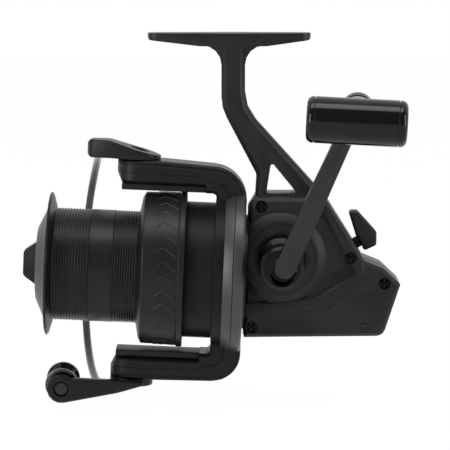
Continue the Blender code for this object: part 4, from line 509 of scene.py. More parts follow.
def rounding(corner: tuple[float, float], before: tuple[float, float], after: tuple[float, float],
             radius: float, steps: int = 4) -> Profile:
    """Points of an arc that rounds one corner of a profile.

    Args:
        corner: the corner.
        before: the profile's point before it.
        after: the profile's point after it.
        radius: the arc's radius.
        steps: parts of the arc.

    Returns:
        The arc's points.
    """
    here = Vector(corner)
    back = (Vector(before) - here).normalized()
    on = (Vector(after) - here).normalized()
    half = back.angle(on) / 2
    middle = here + (back + on).normalized() * (radius / math.sin(half))
    start = here + back * (radius / math.tan(half)) - middle
    sweep = math.copysign(math.pi - 2 * half, -back.cross(on))
    return [tuple(middle + Matrix.Rotation(sweep * step / steps, 2) @ start) for step in range(steps + 1)]


def eased(profile: list[tuple[float, ...]], closed: bool = False) -> Profile:
    """A profile whose corners (x, y, radius) are rounded.

    Args:
        profile: corners, with a radius where the corner is round.
        closed: whether the profile is a loop.

    Returns:
        The drawn profile.
    """
    drawn: Profile = []
    for index, corner in enumerate(profile):
        inner = closed or 0 < index < len(profile) - 1
        if len(corner) < 3 or not inner:
            drawn.append(tuple(corner[:2]))
            continue
        before = profile[index - 1][:2]
        after = profile[(index + 1) % len(profile)][:2]
        drawn.extend(rounding(corner[:2], before, after, corner[2]))
    return drawn


class NodeTree:
    """A Geometry Nodes tree with named inputs, run once into a plain mesh."""

    def __init__(self, name: str) -> None:
        """Starts an empty tree.

        Args:
            name: the tree's name.
        """
        self.tree = bpy.data.node_groups.new(name, "GeometryNodeTree")
        self.tree.interface.new_socket("Geometry", in_out="OUTPUT", socket_type="NodeSocketGeometry")
        self.entry = self.tree.nodes.new("NodeGroupInput")
        self.exit = self.tree.nodes.new("NodeGroupOutput")
        self.values: dict[str, object] = {}

    def size(self, name: str, value: object, kind: str = "NodeSocketFloat") -> bpy.types.NodeSocket:
        """Adds a named input.

        Args:
            name: the input's name.
            value: its value.
            kind: its socket type.

        Returns:
            The socket that carries it inside the tree.
        """
        socket = self.tree.interface.new_socket(name, in_out="INPUT", socket_type=kind)
        self.values[socket.identifier] = value
        return self.entry.outputs[name]

    def node(self, kind: str, **settings: object) -> bpy.types.Node:
        """Adds a node.

        Args:
            kind: the node's type.
            settings: its properties.

        Returns:
            The node.
        """
        made = self.tree.nodes.new(kind)
        for key, value in settings.items():
            setattr(made, key, value)
        return made

    def link(self, source: bpy.types.NodeSocket, target: bpy.types.NodeSocket) -> None:
        """Joins two sockets."""
        self.tree.links.new(source, target)

    def math(self, operation: str, first: object, second: object) -> bpy.types.NodeSocket:
        """Adds a sum of two sockets or numbers.

        Args:
            operation: what to do with them.
            first: a socket or a number.
            second: a socket or a number.

        Returns:
            The result's socket.
        """
        made = self.node("ShaderNodeMath", operation=operation)
        for slot, value in enumerate((first, second)):
            if isinstance(value, bpy.types.NodeSocket):
                self.link(value, made.inputs[slot])
            else:
                made.inputs[slot].default_value = value
        return made.outputs[0]

    def run(self, name: str, geometry: bpy.types.NodeSocket, look: Finish, place: Matrix) -> bpy.types.Object:
        """Closes the tree with Realize Instances and Set Material and makes its mesh.

        Args:
            name: the piece's name.
            geometry: the socket with the shape.
            look: the finish to set.
            place: where the tree's axes go.

        Returns:
            A piece of plain mesh.
        """
        realize = self.node("GeometryNodeRealizeInstances")
        paint = self.node("GeometryNodeSetMaterial")
        paint.inputs["Material"].default_value = look.material()
        self.link(geometry, realize.inputs["Geometry"])
        self.link(realize.outputs["Geometry"], paint.inputs["Geometry"])
        self.link(paint.outputs["Geometry"], self.exit.inputs["Geometry"])
        piece = Workshop.link(name, bpy.data.meshes.new(name))
        modifier = piece.modifiers.new("Nodes", "NODES")
        modifier.node_group = self.tree
        for identifier, value in self.values.items():
            modifier[identifier] = value
        Workshop.applied(piece)
        piece.data.transform(place)
        return piece


@dataclass
class Stage:
    """Floor, light and camera."""

    target: tuple[float, float, float] = (-2.06 * MM, 0.0, -94.0 * MM)
    distance: float = 1.1
    elevation: float = math.radians(7.5)
    focal_pixels: float = 2245.0
    floor_drop: float = 4.0 * MM
    floor_size: float = 6.0
    even_light: float = 0.33
    floor_white: float = 1.035
    floor_share: float = 0.94
    floor_grey: float = 0.9
    floor_roughness: float = 0.9
    backdrop_turn: float = 0.3
    sight: float = 20.0
    boxes: tuple[tuple[str, tuple[float, float, float], tuple[float, float], float], ...] = (
        ("top_box", (0.0, -0.25, 0.9), (1.0, 0.4), 5.5),
        ("left_box", (-0.9, -0.7, 0.15), (0.4, 0.9), 8.0),
        ("right_box", (1.0, -0.45, 0.2), (0.35, 0.9), 6.0))

    def build(self) -> None:
        """Sets the stage."""
        self.camera()
        self.floor()
        self.world()
        for box in self.boxes:
            self.lamp(*box)

    def camera(self) -> None:
        """The camera, at the photograph's angle."""
        data = bpy.data.cameras.new("camera")
        data.sensor_width = SENSOR_MM
        data.lens = self.focal_pixels / IMAGE_PIXELS * SENSOR_MM
        data.clip_end = self.sight
        camera = bpy.data.objects.new("camera", data)
        bpy.context.scene.collection.objects.link(camera)
        away = Vector((0.0, -math.cos(self.elevation), math.sin(self.elevation)))
        camera.location = Vector(self.target) + away * self.distance
        camera.rotation_euler = (math.pi / 2 - self.elevation, 0.0, 0.0)
        bpy.context.scene.camera = camera

    def floor(self) -> None:
        """A pale floor that shows only the reel's soft shadow."""
        mesh = bpy.data.meshes.new("floor")
        half = self.floor_size / 2
        height = CAD_BOX[0][2] - self.floor_drop
        corners = [(x, y, height) for x, y in ((-half, -half), (half, -half), (half, half), (-half, half))]
        mesh.from_pydata(corners, [], [(0, 1, 2, 3)])
        floor = Workshop.link("floor", mesh)
        material = bpy.data.materials.new("floor_white")
        material.use_nodes = True
        nodes = material.node_tree.nodes
        links = material.node_tree.links
        shader = nodes["Principled BSDF"]
        shader.inputs["Base Color"].default_value = (*[self.floor_grey] * 3, 1.0)
        shader.inputs["Roughness"].default_value = self.floor_roughness
        glow = nodes.new("ShaderNodeEmission")
        glow.inputs["Strength"].default_value = self.floor_white
        share = nodes.new("ShaderNodeMath")
        share.operation = "MULTIPLY"
        share.inputs[1].default_value = self.floor_share
        links.new(self.seen(material.node_tree), share.inputs[0])
        mix = nodes.new("ShaderNodeMixShader")
        links.new(share.outputs[0], mix.inputs[0])
        links.new(shader.outputs[0], mix.inputs[1])
        links.new(glow.outputs[0], mix.inputs[2])
        links.new(mix.outputs[0], nodes["Material Output"].inputs["Surface"])
        mesh.materials.append(material)

    def world(self) -> None:
        """A white backdrop behind the reel, and a low even light round it."""
        world = bpy.data.worlds.new("studio")
        bpy.context.scene.world = world
        world.use_nodes = True
        nodes = world.node_tree.nodes
        links = world.node_tree.links
        even = nodes["Background"]
        even.inputs["Color"].default_value = (1.0, 1.0, 1.0, 1.0)
        even.inputs["Strength"].default_value = self.even_light
        white = nodes.new("ShaderNodeBackground")
        white.inputs["Color"].default_value = (1.0, 1.0, 1.0, 1.0)
        white.inputs["Strength"].default_value = 1.0
        way = nodes.new("ShaderNodeTexCoord")
        parts = nodes.new("ShaderNodeSeparateXYZ")
        links.new(way.outputs["Generated"], parts.inputs[0])
        behind = nodes.new("ShaderNodeMapRange")
        behind.inputs["From Min"].default_value = -self.backdrop_turn
        behind.inputs["From Max"].default_value = self.backdrop_turn
        links.new(parts.outputs["Y"], behind.inputs["Value"])
        backdrop = nodes.new("ShaderNodeMath")
        backdrop.operation = "MULTIPLY"
        links.new(self.seen(world.node_tree), backdrop.inputs[0])
        links.new(behind.outputs[0], backdrop.inputs[1])
        mix = nodes.new("ShaderNodeMixShader")
        links.new(backdrop.outputs[0], mix.inputs[0])
        links.new(even.outputs[0], mix.inputs[1])
        links.new(white.outputs[0], mix.inputs[2])
        links.new(mix.outputs[0], nodes["World Output"].inputs["Surface"])

    @staticmethod
    def seen(tree: bpy.types.NodeTree) -> bpy.types.NodeSocket:
        """Tells the rays that show the background from those that light the reel.

        Args:
            tree: the node tree to add to.

        Returns:
            A socket that is 1 for camera, glossy and transmission rays.
        """
        path = tree.nodes.new("ShaderNodeLightPath")
        total = path.outputs["Is Camera Ray"]
        for name in ("Is Glossy Ray", "Is Transmission Ray"):
            either = tree.nodes.new("ShaderNodeMath")
            either.operation = "MAXIMUM"
            tree.links.new(total, either.inputs[0])
            tree.links.new(path.outputs[name], either.inputs[1])
            total = either.outputs[0]
        return total

    def lamp(self, name: str, place: tuple[float, float, float], size: tuple[float, float],
             power: float) -> None:
        """One soft box that faces the reel.

        Args:
            name: the lamp's name.
            place: where it hangs, from the picture's middle.
            size: its width and height.
            power: its power in watts.
        """
        data = bpy.data.lights.new(name, "AREA")
        data.shape = "RECTANGLE"
        data.size, data.size_y = size
        data.energy = power
        lamp = bpy.data.objects.new(name, data)
        bpy.context.scene.collection.objects.link(lamp)
        lamp.location = Vector(self.target) + Vector(place)
        lamp.rotation_euler = (-Vector(place)).to_track_quat("-Z", "Y").to_euler()


@dataclass
class Body:
    """Foot, stem, housing, side cover and their fasteners."""

    edge: float = 0.5 * MM
    cover_edge: float = 0.4 * MM
    ring_edge: float = 0.25 * MM
    small_edge: float = 0.3 * MM
    plug_place: tuple[float, float] = (65.6 * MM, -142.0 * MM)
    plug_radius: float = 1.9 * MM
    plug_face: float = 16.9 * MM
    plug_socket: float = 1.4 * MM
    plug_hole: float = 0.55
    plug_mouth: float = 0.62
    screw_radius: float = 3.0 * MM
    screw_height: float = 1.6 * MM
    slot_width: float = 0.8 * MM
    slot_depth: float = 1.1 * MM
    slot_reach: float = 1.3
    head_sides: int = 32
    screw_names: tuple[str, ...] = ("cover_screw_1", "cover_screw_2", "cover_screw_3", "cover_screw_4")

    def build(self) -> None:
        """Dresses the body."""
        for name, node, edge, look, body in (
                ("reel_body", "body_housing", self.edge, Finishes.CASTING, "frame"),
                ("gear_cover", "side_cover", self.cover_edge, Finishes.COVER, "frame"),
                ("drive_ring", "drive_cover_ring", self.ring_edge, Finishes.COVER, "frame"),
                ("far_cap", "far_side_cap", self.small_edge, Finishes.CASTING, "frame"),
                ("thumb_lever", "anti_reverse_lever", self.small_edge, Finishes.COVER, "lever")):
            Workshop.rounded(name, node, edge, look, body)
        self.screws()
        self.plug()

    def plug(self) -> None:
        """The oil port's plug, a ring round a deep socket."""
        radius, face = self.plug_radius, self.plug_face
        floor, foot = face - self.plug_socket, face - 2 * self.plug_socket
        place = LAYOUT.side @ Matrix.Translation((*self.plug_place, 0.0))
        plug = Workshop.revolve("oil_plug", eased([
            (0.0, floor), (self.plug_hole * radius, floor), (self.plug_mouth * radius, face, 0.1 * MM),
            (radius, face, 0.2 * MM), (radius, foot), (0.0, foot),
        ]), place, steps=36)
        Workshop.finish(plug, Finishes.SCREW, "frame", ("oil_port_plug",), smooth=40.0)

    def screws(self) -> None:
        """Cross-head screws at the solids' places, as one repeated head."""
        heads = bmesh.new()
        for name in self.screw_names:
            low, high = (Vector(c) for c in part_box(name))
            heads.verts.new(((low.x + high.x) / 2, low.y, (low.z + high.z) / 2))
        spots = bpy.data.meshes.new("screw_spots")
        heads.to_mesh(spots)
        heads.free()
        holder = Workshop.link("screw_spots", spots)
        tree = NodeTree("cross_screws")
        places = tree.node("GeometryNodeObjectInfo")
        places.inputs["Object"].default_value = holder
        radius = tree.size("Head radius", self.screw_radius)
        height = tree.size("Head height", self.screw_height)
        width = tree.size("Slot width", self.slot_width)
        depth = tree.size("Slot depth", self.slot_depth)
        head = tree.node("GeometryNodeMeshCylinder")
        head.inputs["Vertices"].default_value = self.head_sides
        tree.link(radius, head.inputs["Radius"])
        tree.link(height, head.inputs["Depth"])
        across = tree.node("ShaderNodeCombineXYZ")
        along = tree.node("ShaderNodeCombineXYZ")
        reach = tree.math("MULTIPLY", radius, self.slot_reach)
        for bar, first, second in ((across, reach, width), (along, width, reach)):
            tree.link(first, bar.inputs[0])
            tree.link(second, bar.inputs[1])
            tree.link(tree.math("MULTIPLY", depth, 2.0), bar.inputs[2])
        cutter = tree.node("GeometryNodeJoinGeometry")
        for bar in (across, along):
            cube = tree.node("GeometryNodeMeshCube")
            tree.link(bar.outputs[0], cube.inputs["Size"])
            tree.link(cube.outputs["Mesh"], cutter.inputs[0])
        lift = tree.node("GeometryNodeTransform")
        up = tree.node("ShaderNodeCombineXYZ")
        tree.link(tree.math("MULTIPLY", height, 0.5), up.inputs[2])
        tree.link(cutter.outputs[0], lift.inputs["Geometry"])
        tree.link(up.outputs[0], lift.inputs["Translation"])
        slotted = tree.node("GeometryNodeMeshBoolean", operation="DIFFERENCE")
        tree.link(head.outputs["Mesh"], slotted.inputs["Mesh 1"])
        tree.link(lift.outputs["Geometry"], slotted.inputs["Mesh 2"])
        sunk = tree.node("GeometryNodeTransform")
        down = tree.node("ShaderNodeCombineXYZ")
        tree.link(tree.math("MULTIPLY", height, -0.5), down.inputs[2])
        tree.link(slotted.outputs["Mesh"], sunk.inputs["Geometry"])
        tree.link(down.outputs[0], sunk.inputs["Translation"])
        spread = tree.node("GeometryNodeInstanceOnPoints")
        tree.link(places.outputs["Geometry"], spread.inputs["Points"])
        tree.link(sunk.outputs["Geometry"], spread.inputs["Instance"])
        spread.inputs["Rotation"].default_value = (math.pi / 2, 0.0, 0.0)
        piece = tree.run("cover_screws", spread.outputs["Instances"], Finishes.SCREW, Matrix.Identity(4))
        bpy.data.objects.remove(holder)
        Workshop.finish(piece, Finishes.SCREW, "frame", self.screw_names)


@dataclass
class Handle:
    """Hub, arm and T knob."""

    grip_radius: float = 10.55 * MM
    grip_length: float = 45.4 * MM
    grip_out: float = 24.5 * MM
    cap_length: float = 3.8 * MM
    cap_round: float = 3.0 * MM
    neck_radius: float = 7.4 * MM
    neck_start: float = 5.2 * MM
    neck_swell: float = 1.2 * MM
    neck_shoulder: float = 9.5 * MM
    neck_round: float = 3.0 * MM
    neck_edge: float = 0.8 * MM
    collar: float = 4.0 * MM
    bush_bore: float = 5.5 * MM
    bush_depth: float = 6.0 * MM
    post_bore: float = 3.3 * MM
    seam: float = 0.3 * MM
    arm_edge: float = 0.4 * MM
    hub_edge: float = 0.35 * MM

    def build(self) -> None:
        """Dresses the crank and its knob."""
        Workshop.rounded("crank_arm", "handle_arm", self.arm_edge, Finishes.ARM, "crank")
        Workshop.rounded("crank_hub", "handle_hub", self.hub_edge, Finishes.HUB, "crank")
        self.grip()

    def grip(self) -> None:
        """The glossy T knob with its two end caps."""
        out = Matrix.Translation((0.0, 0.0, self.grip_out))
        along = LAYOUT.knob @ out @ Matrix.Rotation(math.pi / 2, 4, "Y")
        half = self.grip_length / 2 - self.cap_length
        radius = self.grip_radius
        spigot = half + 2 * self.seam
        core = radius - 2 * self.seam
        bar = Workshop.revolve("grip_bar", eased([
            (0.0, spigot), (core, spigot), (core, half), (radius, half, self.seam),
            (radius, -half, self.seam), (core, -half), (core, -spigot), (0.0, -spigot),
        ]), along)
        low, wide = self.neck_start, self.neck_radius
        seat = low + self.bush_depth
        neck = Workshop.revolve("grip_neck", eased([
            (wide, self.grip_out),
            (wide + self.neck_swell, self.grip_out - self.neck_shoulder, self.neck_round),
            (wide, low + self.collar, self.neck_round), (wide, low, self.neck_edge),
            (self.bush_bore, low), (self.bush_bore, seat), (self.post_bore, seat),
            (self.post_bore, self.grip_out),
        ], closed=True), LAYOUT.knob, closed=True)
        Workshop.finish(bar, Finishes.KNOB, "knob", ("handle_knob",), smooth=40.0)
        Workshop.finish(neck, Finishes.KNOB, "knob", smooth=40.0)
        for node, turn in (("knob_cap_rear", 0.0), ("knob_cap_front", math.pi)):
            top = self.grip_length / 2
            cap = Workshop.revolve(node.replace("knob", "grip"), eased([
                (0.0, top), (radius, top, self.cap_round), (radius, half + self.seam, self.seam / 2),
                (0.0, half + self.seam),
            ]), along @ Matrix.Rotation(turn, 4, "Y"))
            Workshop.finish(cap, Finishes.KNOB, "knob", (node,), smooth=40.0)


@dataclass
class Rotor:
    """Rotor cup and arms with their covers."""

    edge: float = 0.6 * MM
    rim_front: float = 3.2 * MM
    rim_step: float = -1.6 * MM
    rim_rear: float = -6.8 * MM
    rim_inner: float = 34.0 * MM
    rim_radius: float = 37.6 * MM
    rim_rise: float = 1.9 * MM
    rim_lift: float = 0.5 * MM
    rim_groove: float = 0.35 * MM
    pivot: float = 46.0 * MM
    pivot_radius: float = 10.5 * MM
    back: float = -7.0 * MM
    band_front: float = 7.7 * MM
    lid_front: float = 54.0 * MM
    lid_back: float = 13.0 * MM
    lid_depth: float = 3.5 * MM
    chin: float = 5.0 * MM
    inner_corner: float = 2.0 * MM
    half_width: float = 9.6 * MM
    taper_length: float = 80.0 * MM
    skin: float = 0.12 * MM
    outer_bevel: float = 2.6 * MM
    inner_bevel: float = 1.4 * MM
    groove_share: float = 0.42
    groove: float = 0.4 * MM
    bevel_share: float = 0.45
    outer_share: float = 0.3
    inner_share: float = 0.2
    groove_limit: float = 0.2
    lid_edge: float = 0.3 * MM
    corner_steps: int = 16
    lid_steps: int = 4
    nose_steps: tuple[float, ...] = (0.05, 0.3, 0.9, 1.7, 2.5, 3.5, 5.0, 7.0, 10.5, 15.0, 21.0)
    arms_at: tuple[tuple[str, float, float, float, float, float], ...] = (
        ("top", 1.0, 38.8 * MM, 53.4 * MM, 51.0 * MM, 17.0 * MM),
        ("bottom", -1.0, 40.2 * MM, 54.2 * MM, 53.4 * MM, 13.5 * MM))

    def build(self) -> None:
        """Dresses the rotor."""
        self.rim()
        for name, side, inner, outer, rear, corner in self.arms_at:
            self.arm(name, side, inner, outer, rear, corner)
        # The cup takes the darkened copy of the rotor plastic, a painted shade.
        Workshop.rounded("rotor_shell", "rotor", self.edge, Finishes.SHADED_CUP, "rotor")
        for name in ("arm_cover_top", "arm_cover_bottom"):
            Workshop.rounded(name.replace("cover", "lid"), name, self.lid_edge, Finishes.COVER, "rotor")

    def width(self, reach: float) -> float:
        """Half the arm's width at a place along the axis.

        Args:
            reach: the place along the axis.

        Returns:
            Half the width there: tapered, and round about the pivot at the front.
        """
        ahead = reach - self.pivot
        if ahead > 0:
            return math.sqrt(max(0.0, self.pivot_radius ** 2 - ahead ** 2)) + self.skin
        narrowing = (self.pivot_radius - self.half_width) * ahead / self.taper_length
        return self.pivot_radius + narrowing + self.skin

    def stations(self, inner: float, outer: float, rear: float, corner: float) -> list[tuple[Vector, Vector]]:
        """The inner and outer edge of an arm, from its nose round the corner to its root.

        Args:
            inner: height of the inner edge.
            outer: height of the outer edge at the pivot.
            rear: height of the outer edge at the back.
            corner: radius of the rear corner.

        Returns:
            Pairs of points, inner then outer, in the profile's plane.
        """
        front = self.pivot + self.pivot_radius
        flat_end = self.pivot - self.pivot_radius
        slope = (outer - rear) / (flat_end - self.back)
        arc = rounding((self.back, rear), (flat_end, outer), (self.back, 0.0), corner, self.corner_steps)
        lid_step = (flat_end - self.lid_back) / self.lid_steps
        reaches = [front - step * MM for step in self.nose_steps]
        reaches += [flat_end - step * lid_step for step in range(self.lid_steps)]
        reaches += [self.lid_back, self.lid_back - self.skin / 2]
        pairs = []
        for reach in reaches:
            low = inner + (self.lid_depth if reach >= self.lid_back else 0.0)
            low += max(0.0, reach - self.lid_front) / (front - self.lid_front) * self.chin
            high = outer - max(0.0, flat_end - reach) * slope
            pairs.append((Vector((reach, low)), Vector((reach, high + self.skin))))
        for step, point in enumerate(arc):
            turn = math.pi / 2 * (1.0 + step / (len(arc) - 1))
            bend = Vector((math.cos(turn), math.sin(turn)))
            middle = Vector((self.band_front + self.inner_corner, inner - self.inner_corner))
            pairs.append((middle + bend * self.inner_corner, Vector(point) + bend * self.skin))
        low = self.rim_radius - self.inner_bevel
        pairs.append((Vector((self.band_front, low)), Vector((self.back - self.skin, min(low, arc[-1][1])))))
        return pairs

    def arm(self, name: str, side: float, inner: float, outer: float, rear: float, corner: float) -> None:
        """A bevelled arm that runs from the bail's pivot round the corner to the rim.

        Args:
            name: the arm's place.
            side: 1 for the upper arm, -1 for the lower one.
            inner: height of the inner edge.
            outer: height of the outer edge at the pivot.
            rear: height of the outer edge at the back.
            corner: radius of the rear corner.
        """
        shape = bmesh.new()
        rings = []
        for low, high in self.stations(inner, outer, rear, corner):
            up = high - low
            half = self.width(low.x if low.x > self.lid_back else self.lid_back)
            soft = min(self.outer_bevel, self.bevel_share * half, self.outer_share * up.length)
            under = min(self.inner_bevel, self.bevel_share * half, self.inner_share * up.length)
            groove = min(self.groove, self.groove_limit * half)
            shares = [(0.0, half - under), (under / up.length, half), (self.groove_share, half),
                      (self.groove_share + 0.5 * self.groove / up.length, half - groove),
                      (self.groove_share + self.groove / up.length, half), (1.0 - soft / up.length, half),
                      (1.0, half - soft)]
            around = [(low + up * share, depth) for share, depth in shares]
            around += [(point, -depth) for point, depth in reversed(around)]
            rings.append([shape.verts.new((point.x, side * point.y, depth)) for point, depth in around])
        for before, after in zip(rings, rings[1:]):
            for index, vertex in enumerate(before):
                following = (index + 1) % len(before)
                shape.faces.new((vertex, before[following], after[following], after[index]))
        shape.faces.new(rings[0])
        shape.faces.new(rings[-1])
        piece = Workshop.placed(f"rotor_arm_{name}", shape, LAYOUT.profile)
        Workshop.finish(piece, Finishes.ROTOR, "rotor", smooth=24.0)

    def rim(self) -> None:
        """The raised rim round the back of the cup, with a sloping front and a fine groove."""
        step = self.rim_radius + self.rim_rise
        rear = step + self.rim_lift
        rim = Workshop.revolve("rotor_rim", eased([
            (self.rim_inner, self.rim_front), (self.rim_radius, self.rim_front, 0.3 * MM),
            (step, self.rim_step + self.rim_groove, 0.2 * MM), (step - self.rim_groove, self.rim_step),
            (step, self.rim_step - self.rim_groove, 0.2 * MM), (rear, self.rim_rear + 1.0 * MM, 0.8 * MM),
            (rear - 1.0 * MM, self.rim_rear, 0.4 * MM), (self.rim_inner, self.rim_rear),
        ], closed=True), LAYOUT.axis, steps=128, closed=True)
        # The rim's pale finish is painted light on its facets.
        Workshop.finish(rim, Finishes.LIT_RIM, "rotor")


@dataclass
class Bail:
    """Bail arm, wire, roller arm and line roller."""

    wire_radius: float = 1.9 * MM
    top: float = 55.0 * MM
    top_reach: float = 20.5 * MM
    top_side: float = 2.0 * MM
    bottom: float = -58.5 * MM
    bottom_reach: float = 14.5 * MM
    bottom_side: float = -6.4 * MM
    mid_reach: float = 28.75 * MM
    sweep_out: float = 72.0 * MM
    top_ease: float = 2.0
    bottom_ease: float = 0.77
    points: int = 96
    roller_radius: float = 8.2 * MM
    roller_groove: float = 5.8 * MM
    roller_near: float = -7.148 * MM
    roller_length: float = 12.4 * MM
    roller_bore: float = 4.1 * MM
    roller_edge: float = 0.5 * MM
    lever_edge: float = 0.5 * MM
    holder_edge: float = 0.35 * MM

    def build(self) -> None:
        """Dresses the bail."""
        Workshop.rounded("bail_lever", "bail_arm", self.lever_edge, Finishes.ROTOR, "bail")
        Workshop.rounded("roller_holder", "roller_arm", self.holder_edge, Finishes.ROTOR, "bail")
        self.wire()
        self.roller()

    def wire(self) -> None:
        """The bail wire."""
        path: Path = []
        for step in range(self.points + 1):
            share = step / self.points
            turn = math.pi * share
            upper = share < 0.5
            near = self.top_reach if upper else self.bottom_reach
            bulge = max(0.0, math.sin(turn))
            reach = near + (self.mid_reach - near) * bulge ** (self.top_ease if upper else self.bottom_ease)
            height = (self.top + self.bottom) / 2 + (self.top - self.bottom) / 2 * math.cos(turn)
            side = self.top_side + (self.bottom_side - self.top_side) * share + self.sweep_out * bulge
            path.append((reach, height, side))
        wire = Workshop.sweep("bail_hoop", path, self.wire_radius, LAYOUT.bail)
        Workshop.finish(wire, Finishes.WIRE, "bail", ("bail_wire",), smooth=50.0)

    def roller(self) -> None:
        """The line roller."""
        near = self.roller_near
        far = near + self.roller_length
        flange = self.roller_length / 6
        wide, waist, edge = self.roller_radius, self.roller_groove, self.roller_edge
        ring = Workshop.revolve("line_guide", eased([
            (self.roller_bore, far), (wide, far, edge), (wide, far - flange, edge),
            (waist, far - 2 * flange, 2 * edge), (waist, near + 2 * flange, 2 * edge),
            (wide, near + flange, edge), (wide, near, edge), (self.roller_bore, near),
        ], closed=True), LAYOUT.roller, closed=True)
        Workshop.finish(ring, Finishes.WIRE, "line_roller", ("line_roller",))


